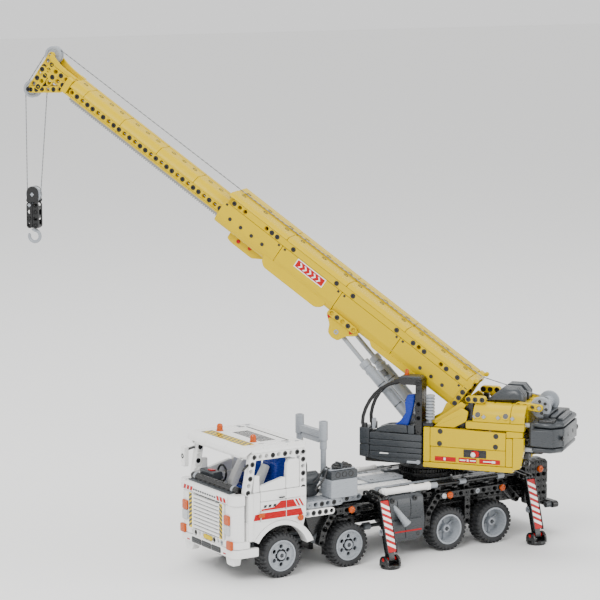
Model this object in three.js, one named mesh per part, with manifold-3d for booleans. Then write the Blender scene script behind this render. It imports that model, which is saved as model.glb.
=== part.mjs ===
// A toy truck crane with a telescopic boom, built of beams, pins and panels on an 8 mm module.
// Millimetres. +X runs from the truck's front to its tail, +Z is up, and the near side is -Y.
// The origin ends at the middle of the whole object's footprint, on the ground.
import * as THREE from "three";
import { mergeVertices } from "three/addons/utils/BufferGeometryUtils.js";
import Module from "manifold-3d";

const wasm = await Module();
wasm.setup();

// ---- driving dimensions -------------------------------------------------------------------
const GAP = 0.3; // between touching pieces
const HALF_WIDTH = 60; // of the truck
const SPINE_HALF = 23; // of the chassis spine
const SPINE_Z = [38, 66];
const SPINE_X = [-46, 372];
const DECK_Z = [71.3, 79];
const DECK_X = [33, 337];
const TYRE_RADIUS = 24.75;
const TYRE_Y = [40, 60]; // inner and outer face of a wheel
const AXLES_X = [0, 88, 224, 288];
const KINGPIN_Y = 34;
const AXLE_RADIUS = 2.3;
const ARCH_RADIUS = 34; // of a fender round its wheel
const OUTRIGGERS_X = [124, 328];
const LEG_HINGE = { y: 44, z: 76 };
const FOOT_PIN = { y: 87, z: 10 };
const CAB_X = [-46, 31];
const SILL_Z = 94;
const ROOF_Z = [137, 149];
const STACK = { x: 76, y: 24.5, radius: 5, top: 160 };

const SLEW_X = 232.8; // the slewing axis
const SLEW_TURN = Math.PI - 0.896; // the boom points over the far front corner
const PLATFORM_Z = [96.4, 104];
const PANEL_V = [40.3, 48];
const BOOM_PIVOT = { u: -56, z: 160 };
const BOOM_ELEVATION = 0.612;
const CYLINDER_PIVOT = { u: -13, z: 116 };
const ROD_EYE = { s: 175, w: -22.5 }; // in the boom's frame
const CYLINDER_V = 20; // the two cylinders stand either side of the middle
const DRUM = { u: -140, z: 168, radius: 12 };

const OUTER_BOOM = { s: [12, 370], v: 28, w: [-9, 32.6] };
const INNER_BOOM = { s: [300, 605], v: 20, w: [-1, 19] };
const PINION = { s: 318, w: -13, pitchRadius: 4, teeth: 8 };
const RACK_PITCH = (2 * Math.PI * PINION.pitchRadius) / PINION.teeth;
const RACK_W = [-9, -1.3]; // the pitch line, and the back of the rack
const RACK_SLOT_S = 84; // where the slot for the rack starts in the outer boom's floor
const HEAD_S = 649;
const UPPER_PULLEY_W = 23.5;
const LOWER_PULLEY_W = -26;
const HEAD_PULLEY = { groove: 8.6, flange: 10.5, rope: 9.6 };
const HOOK_PULLEY = { groove: 7.8, flange: 9.5, rope: 8.75 };
const HOOK_U = 491; // middle of the hook block
const HOOK_PULLEY_Z = 385;
const ROPE_ANCHOR = { u: 471.6, z: 514 };
const ROPE_RADIUS = 0.6;

// ---- materials ----------------------------------------------------------------------------
function plastic(color, roughness = 0.35) {
  return new THREE.MeshStandardMaterial({ color, roughness, metalness: 0 });
}
const yellow = plastic(0xf7c600);
const black = plastic(0x1b1b1d);
const darkGrey = plastic(0x4b4f55);
const lightGrey = plastic(0xa9adb2);
const white = plastic(0xf2f2f0);
const red = plastic(0xc4161c);
const rubber = plastic(0x222326, 0.8);
const cord = plastic(0x9a9a98, 0.9);

// ---- solids and how they join -------------------------------------------------------------
function solid(geometry) {
  const bare = geometry.index ? geometry.toNonIndexed() : geometry;
  bare.deleteAttribute("normal");
  bare.deleteAttribute("uv");
  const merged = mergeVertices(bare, 1e-3);
  const mesh = new wasm.Mesh({
    numProp: 3,
    vertProperties: merged.attributes.position.array,
    triVerts: new Uint32Array(merged.index.array),
  });
  return new wasm.Manifold(mesh);
}

function join(first, ...others) {
  return others.reduce((whole, next) => whole.add(next), first);
}

function cut(whole, ...holes) {
  return holes.reduce((rest, hole) => rest.subtract(hole), whole);
}

function toGeometry(shape) {
  const mesh = shape.getMesh();
  const geometry = new THREE.BufferGeometry();
  const corners = new THREE.BufferAttribute(new Float32Array(mesh.vertProperties), 3);
  geometry.setAttribute("position", corners);
  geometry.setIndex(new THREE.BufferAttribute(new Uint32Array(mesh.triVerts), 1));
  geometry.computeVertexNormals();
  return geometry;
}

function place(parent, name, shape, material) {
  const mesh = new THREE.Mesh(toGeometry(shape), material);
  mesh.name = name;
  parent.add(mesh);
}

function box([x0, x1], [y0, y1], [z0, z1]) {
  const geometry = new THREE.BoxGeometry(x1 - x0, y1 - y0, z1 - z0);
  return solid(geometry.translate((x0 + x1) / 2, (y0 + y1) / 2, (z0 + z1) / 2));
}

// A round bar along one axis, centred on a point.
function bar(axis, centre, radius, length, sides = 12) {
  const geometry = new THREE.CylinderGeometry(radius, radius, length, sides);
  if (axis === "x") geometry.rotateZ(Math.PI / 2);
  if (axis === "z") geometry.rotateX(Math.PI / 2);
  return solid(geometry.translate(...centre));
}

// An outline of [x, z] points, extruded across Y.
function slab(outline, [y0, y1]) {
  const shape = new THREE.Shape(outline.map(([x, z]) => new THREE.Vector2(x, z)));
  const geometry = new THREE.ExtrudeGeometry(shape, { depth: y1 - y0, bevelEnabled: false });
  return solid(geometry.rotateX(Math.PI / 2).translate(0, y1, 0));
}

// An outline of [y, z] points, extruded along X.
function rib(outline, [x0, x1]) {
  const shape = new THREE.Shape(outline.map(([y, z]) => new THREE.Vector2(y, z)));
  const geometry = new THREE.ExtrudeGeometry(shape, { depth: x1 - x0, bevelEnabled: false });
  return solid(geometry.rotateX(Math.PI / 2).rotateZ(Math.PI / 2).translate(x0, 0, 0));
}

// A closed profile of [radius, y] points, turned round the Y axis.
function turned(profile, centre, sides = 20) {
  const points = [...profile, profile[0]].map(([r, y]) => new THREE.Vector2(r, y));
  return solid(new THREE.LatheGeometry(points, sides).translate(...centre));
}

function bothSides(shapeFor) {
  return join(shapeFor(-1), shapeFor(1));
}

function across(side, inner, outer) {
  return side < 0 ? [-outer, -inner] : [inner, outer];
}

// ---- chassis ------------------------------------------------------------------------------
function frontAxleBeam(x) {
  const armEnd = KINGPIN_Y + 4;
  return join(
    box([x - 7, x + 7], [-SPINE_HALF, SPINE_HALF], [8, SPINE_Z[0] + 1]),
    box([x - 5, x + 5], [-armEnd, armEnd], [40, 45]),
    box([x - 5, x + 5], [-armEnd, armEnd], [8, 10.6]),
  );
}

function rearAxleBeam(x) {
  const reach = TYRE_Y[0] - 1;
  return join(
    box([x - 7, x + 7], [-reach, reach], [18, SPINE_Z[0] + 1]),
    bar("y", [x, 0, TYRE_RADIUS], AXLE_RADIUS, 2 * (TYRE_Y[1] - 1)),
  );
}

function outriggerBeam(x) {
  const arm = LEG_HINGE.y;
  const cheek = (side, x0, x1) =>
    box([x0, x1], across(side, arm - 8, arm + 5), [56, LEG_HINGE.z + 5]);
  return join(
    box([x - 12, x + 12], [-arm + 6, arm - 6], [56, 70.9]),
    bothSides((side) => cheek(side, x - 12, x - 6.4)),
    bothSides((side) => cheek(side, x + 6.4, x + 12)),
    bothSides((side) => bar("x", [x, side * arm, LEG_HINGE.z], 2, 22)),
  );
}

function chassisFrame() {
  const spine = box(SPINE_X, [-SPINE_HALF, SPINE_HALF], SPINE_Z);
  const beams = [frontAxleBeam(AXLES_X[0]), frontAxleBeam(AXLES_X[1])];
  beams.push(rearAxleBeam(AXLES_X[2]), rearAxleBeam(AXLES_X[3]));
  beams.push(...OUTRIGGERS_X.map(outriggerBeam));
  return join(spine, ...beams);
}

function deckPanel() {
  const notch = (x, side) =>
    box([x - 12.6, x + 12.6], across(side, LEG_HINGE.y - 8.5, 50), [70, 80]);
  const notches = OUTRIGGERS_X.flatMap((x) => [notch(x, -1), notch(x, 1)]);
  const bearingHole = bar("z", [SLEW_X, 0, 75], 32.5, 20, 32);
  const rib = (x0, x1) => box([x0, x1], [-20, 20], [SPINE_Z[1] + GAP, DECK_Z[0] + 1]);
  const plate = box(DECK_X, [-48, 48], DECK_Z);
  return cut(join(plate, rib(40, 108), rib(140, 312)), bearingHole, ...notches);
}

function turntableBase() {
  const [inner, outer] = [9, 31.5];
  const [bottom, top] = [SPINE_Z[1] + GAP, 88];
  const ring = cut(
    bar("z", [SLEW_X, 0, (bottom + top) / 2], outer, top - bottom, 32),
    bar("z", [SLEW_X, 0, 75], inner, 40, 24),
  );
  return ring;
}

function sideFairing(side) {
  const outline = [[138, 24], [190, 22], [190, 66], [182, 71], [146, 71], [138, 64]];
  return slab(outline, across(side, 49, HALF_WIDTH));
}

function archBeam(side) {
  const beam = box([198, 312], across(side, 48.5, 56.5), [57, 65]);
  const post = (x) => box([x - 4, x + 4], across(side, 48.5, 56.5), [64, 78]);
  return join(beam, post(206), post(254), post(304));
}

function rearHousing() {
  const shell = box([342, 378], [-44, 44], [35, 78]);
  const channel = box([341, SPINE_X[1] + GAP], [-23.3, 23.3], [34, 66.3]);
  const bumper = box([378, 386], [-56, 56], [28, 38]);
  const arms = bothSides((side) => box([372.5, 380], across(side, 12, 24), [28, 40]));
  return join(cut(shell, channel), bumper, arms);
}

function batteryBox() {
  const body = box([73, 100], [-58, -38], [DECK_Z[1] + GAP, 109]);
  const sockets = [79, 87, 95].map((x) => bar("y", [x, -57, 95], 2.4, 6, 12));
  return cut(body, ...sockets);
}

function exhaustStacks() {
  const foot = DECK_Z[1] + GAP;
  const pipe = (side) =>
    bar("z", [STACK.x, side * STACK.y, (foot + STACK.top) / 2], STACK.radius, STACK.top - foot);
  const brace = box([STACK.x - 2, STACK.x + 2], [-STACK.y, STACK.y], [146, 152]);
  return join(bothSides(pipe), brace);
}

// ---- truck cab ----------------------------------------------------------------------------
function truckCabShell() {
  const wall = 4;
  const outside = box(CAB_X, [-HALF_WIDTH, HALF_WIDTH], [44, SILL_Z]);
  const insideY = HALF_WIDTH - wall;
  const inside = box([CAB_X[0] + wall, CAB_X[1] - wall], [-insideY, insideY], [71, SILL_Z + 1]);
  const arch = bar("y", [AXLES_X[0], 0, TYRE_RADIUS], ARCH_RADIUS, 130, 32);
  const channel = box([-47, 32], [-38.5, 38.5], [43, 66.3]);
  return cut(outside, inside, arch, channel);
}

function windowFrame() {
  const [front, rear] = CAB_X;
  const post = 6;
  const sill = cut(
    box(CAB_X, [-HALF_WIDTH, HALF_WIDTH], [SILL_Z + GAP, 99]),
    box([front + 4, rear - 4], [-HALF_WIDTH + 4, HALF_WIDTH - 4], [94, 100]),
  );
  const top = ROOF_Z[0] - GAP;
  const pillar = (side, x0) =>
    box([x0, x0 + post], across(side, HALF_WIDTH - post, HALF_WIDTH), [98, top]);
  const fronts = bothSides((side) => pillar(side, front));
  const rears = bothSides((side) => pillar(side, rear - post));
  return join(sill, fronts, rears);
}

function cabRoof() {
  const [front, rear] = CAB_X;
  const slabTop = box([front, rear], [-HALF_WIDTH, HALF_WIDTH], ROOF_Z);
  const hollow = box([front + 5, rear - 5], [-HALF_WIDTH + 5, HALF_WIDTH - 5], [136, 144]);
  return cut(slabTop, hollow);
}

function frontGrille() {
  const back = CAB_X[0] - GAP;
  const louvres = [50, 56, 62, 68].map((z) => box([-58, -54], [-26, 26], [z, z + 3]));
  return cut(box([-57, back], [-32, 32], [38, 76]), ...louvres);
}

function frontBumper() {
  const outside = box([-58, -29], [-HALF_WIDTH, HALF_WIDTH], [28, 36]);
  const inside = box([-46, -28], [-52, 52], [27, 37]);
  const foot = box([-50, -40], [-18, 18], [31, SPINE_Z[0] - GAP]);
  return join(cut(outside, inside), foot);
}

// ---- wheels and steering ------------------------------------------------------------------
function wheel(side) {
  const [inner, outer] = TYRE_Y;
  const bore = AXLE_RADIUS + 0.4;
  const profile = [
    [bore, inner + 4], [15, inner + 4], [16, inner], [21, inner], [TYRE_RADIUS, inner + 4],
    [TYRE_RADIUS, outer - 4], [21, outer], [bore, outer - 1],
  ];
  const middle = (inner + outer) / 2;
  const centred = profile.map(([r, y]) => [r, y - middle]);
  const made = turned(centred, [0, 0, 0]);
  return side < 0 ? made.mirror([0, 1, 0]) : made;
}

function knuckle(side) {
  const wheelMiddle = (TYRE_Y[0] + TYRE_Y[1]) / 2;
  const block = box([-5, 5], across(side, -3.5, 4.5), [-8, 8]);
  const kingpin = bar("z", [0, 0, 0.6], 3, 28.8);
  const reach = TYRE_Y[1] - 1 - KINGPIN_Y;
  const stub = bar("y", [0, (side * reach) / 2, 0], AXLE_RADIUS, reach);
  const washer = bar("y", [0, side * (wheelMiddle - KINGPIN_Y - 8), 0], 4, 4);
  return join(block, kingpin, stub, washer);
}

function addWheels(chassis) {
  const corners = ["near", "far"];
  AXLES_X.forEach((x, axle) => {
    corners.forEach((corner) => {
      const side = corner === "near" ? -1 : 1;
      const middle = (side * (TYRE_Y[0] + TYRE_Y[1])) / 2;
      const hub = new THREE.Group();
      hub.position.set(x, middle, TYRE_RADIUS);
      chassis.add(hub);
      place(hub, `wheel_${axle + 1}_${corner}`, wheel(side), rubber);
      if (axle > 1) return;
      const post = new THREE.Group();
      post.position.set(x, side * KINGPIN_Y, TYRE_RADIUS);
      chassis.add(post);
      place(post, `steering_knuckle_${axle + 1}_${corner}`, knuckle(side), lightGrey);
    });
  });
}

// ---- outriggers ---------------------------------------------------------------------------
function outriggerLeg(side) {
  const knee = { y: 70, z: 72 };
  const top = [
    [LEG_HINGE.y - 3, LEG_HINGE.z - 3], [LEG_HINGE.y - 3, LEG_HINGE.z + 4],
    [LEG_HINGE.y + 4, LEG_HINGE.z + 4.5], [knee.y + 5, knee.z + 2],
    [FOOT_PIN.y + 4, FOOT_PIN.z + 3], [FOOT_PIN.y + 3, FOOT_PIN.z - 3.6],
    [FOOT_PIN.y - 3, FOOT_PIN.z - 3.6], [knee.y - 5, knee.z - 6],
  ];
  const outline = top.map(([y, z]) => [side * y, z]);
  const bore = (pin) => bar("x", [0, side * pin.y, pin.z], 2.4, 40);
  return cut(rib(outline, [-6, 6]), bore(LEG_HINGE), bore({ y: FOOT_PIN.y, z: FOOT_PIN.z }));
}

function outriggerFoot(side) {
  const pad = bar("z", [0, side * FOOT_PIN.y, 2.5], 11, 5, 24);
  const cheek = (x0, x1) =>
    box([x0, x1], across(side, FOOT_PIN.y - 5, FOOT_PIN.y + 5), [1, FOOT_PIN.z + 4]);
  const pin = bar("x", [0, side * FOOT_PIN.y, FOOT_PIN.z], 2, 19);
  return join(pad, cheek(-9.5, -6.4), cheek(6.4, 9.5), pin);
}

function addOutriggers(chassis) {
  OUTRIGGERS_X.forEach((x, row) => {
    [["near", -1], ["far", 1]].forEach(([corner, side]) => {
      const station = new THREE.Group();
      station.position.set(x, 0, 0);
      chassis.add(station);
      place(station, `outrigger_leg_${row + 1}_${corner}`, outriggerLeg(side), red);
      place(station, `outrigger_foot_${row + 1}_${corner}`, outriggerFoot(side), black);
    });
  });
}

// ---- slewing superstructure: local X runs under the boom, local Y to the near side ---------
function slewPlatform() {
  const bearing = bar("z", [0, 0, 92.8], 30, 8.4, 32);
  const kingpost = bar("z", [0, 0, 82], 8, 20);
  const plate = box([-116, 62], [-40, 40], PLATFORM_Z);
  const post = (side) =>
    box([BOOM_PIVOT.u - 9, BOOM_PIVOT.u + 7], across(side, 30, 39), [103, BOOM_PIVOT.z + 8]);
  const pivotPin = bar("y", [BOOM_PIVOT.u, 0, BOOM_PIVOT.z], 3, 74);
  const { u, z } = CYLINDER_PIVOT;
  const saddle = box([u - 7, u + 7], [-11, 11], [103, z + 5]);
  const saddlePin = bar("y", [u, 0, z], 2.5, 2 * (CYLINDER_V + 7));
  return join(bearing, kingpost, plate, bothSides(post), pivotPin, saddle, saddlePin);
}

function sidePanel(side) {
  const outline = [
    [-11, 97], [-11, 142.5], [-108, 142.5], [-112, 136], [-126, 134], [-120, 97],
  ];
  return slab(outline, across(side, ...PANEL_V));
}

function engineCover() {
  const hood = slab(
    [[-68, 143.6], [-68, 166], [-74, 171], [-127, 171], [-127, 143.6]],
    [-47, 47],
  );
  const under = box([-117, -76], [-39, 39], [142, 165]);
  const boomWell = box([-73, -60], [-40, 40], [142, 172]);
  const drumArm = (side) => box([DRUM.u - 6, -126], across(side, 24, 30), [156, 175]);
  const drumPin = bar("y", [DRUM.u, 0, DRUM.z], 2, 58);
  return join(cut(hood, under, boomWell), bothSides(drumArm), drumPin);
}

function winchCover() {
  const outline = [[-84, 178], [-92, 190], [-112, 190], [-118, 182], [-118, 171.3], [-84, 171.3]];
  const ropeSlot = box([-120, -80], [-4, 4], [177, 191]);
  return cut(slab(outline, [-24, 24]), ropeSlot);
}

function counterweight() {
  const outline = [
    [-132, 121], [-132, 154], [-160, 154], [-170, 146], [-170, 128], [-162, 121],
  ];
  const arm = box([-133, -116.3], [-20, 20], [122, 132]);
  return join(slab(outline, [-44, 44]), arm);
}

function winchDrum() {
  const bore = 2.4;
  const [core, flange] = [6.5, DRUM.radius];
  const profile = [
    [bore, -22], [flange, -22], [flange, -19], [core, -19],
    [core, 19], [flange, 19], [flange, 22], [bore, 22],
  ];
  return turned(profile, [0, 0, 0], 20);
}

const CRANE_CAB = { u: [-9, 64], v: [29.3, 49], z: [105, 134] };

function craneCabBody() {
  const { u, v, z } = CRANE_CAB;
  const inside = box([u[0] + 3, u[1] - 3], [v[0] + 2, v[1] - 2], [z[0] + 8, z[1] + 1]);
  return cut(box(u, v, z), inside);
}

function craneCabFrame() {
  const { u, v, z } = CRANE_CAB;
  const foot = z[1] + GAP;
  const sill = cut(
    box(u, v, [foot, foot + 4]),
    box([u[0] + 4, u[1] - 4], [v[0] + 3, v[1] - 3], [z[1], foot + 5]),
  );
  const rearPosts = (v0) => box([u[0], u[0] + 8], [v0, v0 + 4], [foot + 3, 195]);
  const roof = box([u[0], 18], v, [188, 195]);
  const hoop = (v0) =>
    slab([[64, 138], [64, 144], [50, 172], [18, 194], [16, 188], [44, 168], [58, 138]],
      [v0, v0 + 4]);
  const edges = [v[0], v[1] - 4];
  return join(sill, roof, ...edges.map(rearPosts), ...edges.map(hoop));
}

// ---- lift cylinders -----------------------------------------------------------------------
const [eyeU, eyeZ] = inPlane(BOOM_PIVOT, BOOM_ELEVATION, ROD_EYE.s, ROD_EYE.w);
const LIFT_LENGTH = Math.hypot(eyeU - CYLINDER_PIVOT.u, eyeZ - CYLINDER_PIVOT.z);
const LIFT_ANGLE = Math.atan2(eyeZ - CYLINDER_PIVOT.z, eyeU - CYLINDER_PIVOT.u);

// A point s along and w square to a line that leaves the pivot at an angle.
function inPlane(pivot, angle, s, w) {
  const u = pivot.u + s * Math.cos(angle) - w * Math.sin(angle);
  return [u, pivot.z + s * Math.sin(angle) + w * Math.cos(angle)];
}

function liftCylinders() {
  const [start, boreFloor, mouth] = [-5, 20, 124];
  const tube = (side) => {
    const v = side * CYLINDER_V;
    const barrel = bar("x", [(start + mouth) / 2, v, 0], 6.5, mouth - start);
    const bore = bar("x", [(boreFloor + mouth) / 2 + 1, v, 0], 3.2, mouth - boreFloor + 2);
    return cut(barrel, bore, bar("y", [0, v, 0], 2.9, 20));
  };
  const collar = cut(
    box([116, 122], [-CYLINDER_V, CYLINDER_V], [-4, 4]),
    bothSides((side) => bar("x", [119, side * CYLINDER_V, 0], 3.2, 20)),
  );
  return join(bothSides(tube), collar);
}

function liftRods() {
  const start = 52;
  const middle = (start + LIFT_LENGTH) / 2;
  const rod = (side) =>
    join(
      bar("x", [middle, side * CYLINDER_V, 0], 2.5, LIFT_LENGTH - start),
      bar("y", [LIFT_LENGTH, side * CYLINDER_V, 0], 4, 7),
    );
  return join(bothSides(rod), bar("y", [LIFT_LENGTH, 0, 0], 2, 2 * CYLINDER_V));
}

// ---- boom: local X runs along it, local Z square to it --------------------------------------
function outerBoom() {
  const { s, v, w } = OUTER_BOOM;
  const shell = cut(
    box(s, [-v, v], w),
    box([s[0] - 1, s[1] + 1], [-v + 5, v - 5], [w[0] + 3.2, w[1] - 4]),
    box([PINION.s - 9, PINION.s + 9], [-5, 5], [w[0] - 1, w[1] - 20]),
    box([RACK_SLOT_S, s[1] + 1], [-5, 5], [w[0] - 1, w[0] + 4]),
  );
  const lug = (side) => box([-8, s[0] + 3], across(side, v - 5, v - 0.5), [-9, 9]);
  const pivotBore = bar("y", [0, 0, 0], 3.4, 80);
  const cheek = (side) =>
    slab([[156, -8], [194, -8], [186, -31], [166, -31]], across(side, v - 3, v));
  const gearCheek = (side) =>
    box([PINION.s - 9, PINION.s + 9], across(side, 6, 10), [PINION.w - 7, w[0] + 1]);
  const gearPin = bar("y", [PINION.s, 0, PINION.w], 1.5, 18, 12);
  const sides = [bothSides(lug), bothSides(cheek), bothSides(gearCheek), gearPin];
  return cut(join(shell, ...sides), pivotBore);
}

function innerBoom() {
  const { s, v, w } = INNER_BOOM;
  const hollow = box([s[0] - 1, s[1] + 1], [-v + 3, v - 3], [w[0] + 3, w[1] - 3]);
  return cut(box(s, [-v, v], w), hollow);
}

// Teeth stand on the side that faces the pinion; their flanks leave room on both sides.
function extensionRack() {
  const [pitchLine, back] = RACK_W;
  const [tip, root] = [pitchLine - 0.4, pitchLine + 1.2];
  const outline = [[INNER_BOOM.s[0], root], [INNER_BOOM.s[0], back]];
  outline.push([INNER_BOOM.s[1] - 2, back], [INNER_BOOM.s[1] - 2, root]);
  const firstGap = Math.ceil((INNER_BOOM.s[0] - PINION.s) / RACK_PITCH + 1);
  const lastGap = Math.floor((INNER_BOOM.s[1] - 4 - PINION.s) / RACK_PITCH);
  for (let tooth = lastGap; tooth >= firstGap; tooth--) {
    const centre = PINION.s + (tooth - 0.5) * RACK_PITCH;
    outline.push([centre + 0.75, root], [centre + 0.4, tip]);
    outline.push([centre - 0.4, tip], [centre - 0.75, root]);
  }
  return slab(outline, [-4, 4]);
}

function extensionPinion() {
  const outline = [];
  for (let tooth = 0; tooth < PINION.teeth; tooth++) {
    const middle = Math.PI / 2 + (2 * Math.PI * tooth) / PINION.teeth;
    [[-0.36, 3.1], [-0.1, 4.8], [0.1, 4.8], [0.36, 3.1]].forEach(([turn, radius]) => {
      outline.push([radius * Math.cos(middle + turn), radius * Math.sin(middle + turn)]);
    });
  }
  return cut(slab(outline, [-4, 4]), bar("y", [0, 0, 0], 1.9, 12, 12));
}

function boomHead() {
  const neck = join(
    box([INNER_BOOM.s[1] + GAP, HEAD_S - 3.5], [-9, 9], [0, 18]),
    box([INNER_BOOM.s[1] + GAP, INNER_BOOM.s[1] + 8], [-20, 20], [-1, 19]),
  );
  const plate = (side) =>
    box([HEAD_S - 4, HEAD_S + 4], across(side, 5, 9), [LOWER_PULLEY_W - 4, UPPER_PULLEY_W + 4]);
  const pulleyWell = box([HEAD_S - 13, HEAD_S], [-4.9, 4.9], [UPPER_PULLEY_W - 13, 30]);
  const highAxle = bar("y", [HEAD_S, 0, UPPER_PULLEY_W], 2, 18);
  const lowAxle = bar("y", [HEAD_S, 0, LOWER_PULLEY_W], 2, 24);
  return join(cut(neck, pulleyWell), bothSides(plate), highAxle, lowAxle);
}

function pulley({ groove, flange }, halfWidth, bore) {
  const profile = [
    [bore, -halfWidth], [flange, -halfWidth], [flange, -1.6], [groove, -1],
    [groove, 1], [flange, 1.6], [flange, halfWidth], [bore, halfWidth],
  ];
  return turned(profile, [0, 0, 0], 24);
}

// ---- hook ---------------------------------------------------------------------------------
const [lowPulleyU, lowPulleyZ] = inPlane(BOOM_PIVOT, BOOM_ELEVATION, HEAD_S, LOWER_PULLEY_W);

function ropeAnchor() {
  const { u, z } = ROPE_ANCHOR;
  const link = (side) => {
    const outline = [
      [u - 2.5, z - 2.5], [lowPulleyU + 4, lowPulleyZ - 4],
      [lowPulleyU + 4, lowPulleyZ + 4], [u - 2.5, z + 2.5],
    ];
    return slab(outline, across(side, 9.5, 11.5));
  };
  const crossPin = bar("y", [u, 0, z], 1.8, 22, 12);
  const bore = bar("y", [lowPulleyU, 0, lowPulleyZ], 2.4, 40);
  return cut(join(bothSides(link), crossPin), bore);
}

function hookBlock() {
  const halfU = 7.6;
  const body = box([HOOK_U - halfU, HOOK_U + halfU], [-6, 6], [344, 395]);
  const slot = box([HOOK_U - 20, HOOK_U + 20], [-3.4, 3.4], [HOOK_PULLEY_Z - 11, 396]);
  return join(cut(body, slot), bar("y", [HOOK_U, 0, HOOK_PULLEY_Z], 1.8, 11));
}

function hook() {
  const bend = new THREE.Shape();
  const [radius, inner, middle] = [9, 5, 334.4];
  bend.absarc(0, middle, radius, Math.PI / 2, Math.PI * 2.1, false);
  bend.absarc(0, middle, inner, Math.PI * 2.1, Math.PI / 2, true);
  const geometry = new THREE.ExtrudeGeometry(bend, {
    depth: 5, bevelEnabled: false, curveSegments: 14,
  });
  const claw = solid(geometry.rotateX(Math.PI / 2).translate(HOOK_U, 2.5, 0));
  return join(claw, box([HOOK_U - 3, HOOK_U + 2], [-2.5, 2.5], [middle + inner, 343.7]));
}

// ---- rope ---------------------------------------------------------------------------------
function arcPoints(centre, radius, from, to, count) {
  return Array.from({ length: count + 1 }, (_, i) => {
    const angle = from + ((to - from) * i) / count;
    const [u, z] = [centre[0] + radius * Math.cos(angle), centre[1] + radius * Math.sin(angle)];
    return new THREE.Vector3(u, 0, z);
  });
}

// In the boom's frame: over the boom, round the upper head pulley, and down to the lower one.
function ropeOverBoom() {
  const start = new THREE.Vector3(OUTER_BOOM.s[0], 0, 34.6);
  const wrapUpper = arcPoints([HEAD_S, UPPER_PULLEY_W], HEAD_PULLEY.rope, Math.PI / 2, 0, 5);
  const turn = -BOOM_ELEVATION + 0.05;
  const wrapLower = arcPoints([HEAD_S, LOWER_PULLEY_W], HEAD_PULLEY.rope, 0, turn, 3);
  return tubeThrough([start, ...wrapUpper, ...wrapLower]);
}

function ropeFalls() {
  const halfTurn = arcPoints([HOOK_U, HOOK_PULLEY_Z], HOOK_PULLEY.rope, Math.PI, 2 * Math.PI, 8);
  const top = new THREE.Vector3(ROPE_ANCHOR.u, 0, ROPE_ANCHOR.z - 2.8);
  const leave = new THREE.Vector3(lowPulleyU + HEAD_PULLEY.rope, 0, lowPulleyZ);
  return tubeThrough([top, ...halfTurn, leave]);
}

function ropeToWinch() {
  const [u, z] = inPlane(BOOM_PIVOT, BOOM_ELEVATION, OUTER_BOOM.s[0] - 0.6, 34.6);
  const wind = arcPoints([DRUM.u, DRUM.z], 7.6, Math.PI / 2 + 0.6, Math.PI / 2, 2);
  return tubeThrough([...wind, new THREE.Vector3(u, 0, z)]);
}

// A round tube whose rings stand on the given points, square to the bends between them.
function tubeThrough(points) {
  const sides = 8;
  const across3 = new THREE.Vector3(0, 1, 0);
  const positions = [];
  const rings = points.map((point, i) => {
    const before = points[Math.max(i - 1, 0)];
    const after = points[Math.min(i + 1, points.length - 1)];
    const along = after.clone().sub(before).normalize();
    const square = new THREE.Vector3().crossVectors(along, across3);
    return Array.from({ length: sides }, (_, k) => {
      const angle = (2 * Math.PI * k) / sides;
      const offset = across3.clone().multiplyScalar(ROPE_RADIUS * Math.cos(angle));
      return point.clone().add(offset).addScaledVector(square, ROPE_RADIUS * Math.sin(angle));
    });
  });
  const face = (...corners) => corners.forEach((c) => positions.push(c.x, c.y, c.z));
  for (let i = 1; i < rings.length; i++) {
    for (let k = 0; k < sides; k++) {
      const next = (k + 1) % sides;
      face(rings[i - 1][k], rings[i][next], rings[i][k]);
      face(rings[i - 1][k], rings[i - 1][next], rings[i][next]);
    }
  }
  for (let k = 0; k < sides; k++) {
    const next = (k + 1) % sides;
    face(points[0], rings[0][next], rings[0][k]);
    face(points.at(-1), rings.at(-1)[k], rings.at(-1)[next]);
  }
  const geometry = new THREE.BufferGeometry();
  geometry.setAttribute("position", new THREE.Float32BufferAttribute(positions, 3));
  return solid(geometry);
}

// ---- the whole crane ------------------------------------------------------------------------
function groupAt(parent, x, z, turnY = 0) {
  const group = new THREE.Group();
  group.position.set(x, 0, z);
  group.rotation.y = turnY;
  parent.add(group);
  return group;
}

const crane = new THREE.Group();
const chassis = new THREE.Group();
crane.add(chassis);
place(chassis, "chassis_frame", chassisFrame(), black);
place(chassis, "deck_panel", deckPanel(), white);
place(chassis, "turntable_base", turntableBase(), black);
place(chassis, "side_fairing_near", sideFairing(-1), darkGrey);
place(chassis, "side_fairing_far", sideFairing(1), darkGrey);
place(chassis, "arch_beam_near", archBeam(-1), black);
place(chassis, "arch_beam_far", archBeam(1), black);
place(chassis, "rear_housing", rearHousing(), black);
place(chassis, "battery_box", batteryBox(), lightGrey);
place(chassis, "exhaust_stacks", exhaustStacks(), darkGrey);
place(chassis, "truck_cab_shell", truckCabShell(), white);
place(chassis, "window_frame", windowFrame(), black);
place(chassis, "cab_roof", cabRoof(), white);
place(chassis, "front_grille", frontGrille(), white);
place(chassis, "front_bumper", frontBumper(), black);
addWheels(chassis);
addOutriggers(chassis);

const upper = groupAt(crane, SLEW_X, 0);
upper.rotation.z = SLEW_TURN;
place(upper, "slew_platform", slewPlatform(), black);
place(upper, "side_panel_near", sidePanel(1), yellow);
place(upper, "side_panel_far", sidePanel(-1), yellow);
place(upper, "engine_cover", engineCover(), yellow);
place(upper, "winch_cover", winchCover(), darkGrey);
place(upper, "counterweight", counterweight(), darkGrey);
place(upper, "crane_cab_body", craneCabBody(), darkGrey);
place(upper, "crane_cab_frame", craneCabFrame(), black);
place(groupAt(upper, DRUM.u, DRUM.z), "winch_drum", winchDrum(), lightGrey);

const lift = groupAt(upper, CYLINDER_PIVOT.u, CYLINDER_PIVOT.z, -LIFT_ANGLE);
place(lift, "lift_cylinders", liftCylinders(), lightGrey);
place(lift, "lift_rods", liftRods(), lightGrey);

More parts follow.
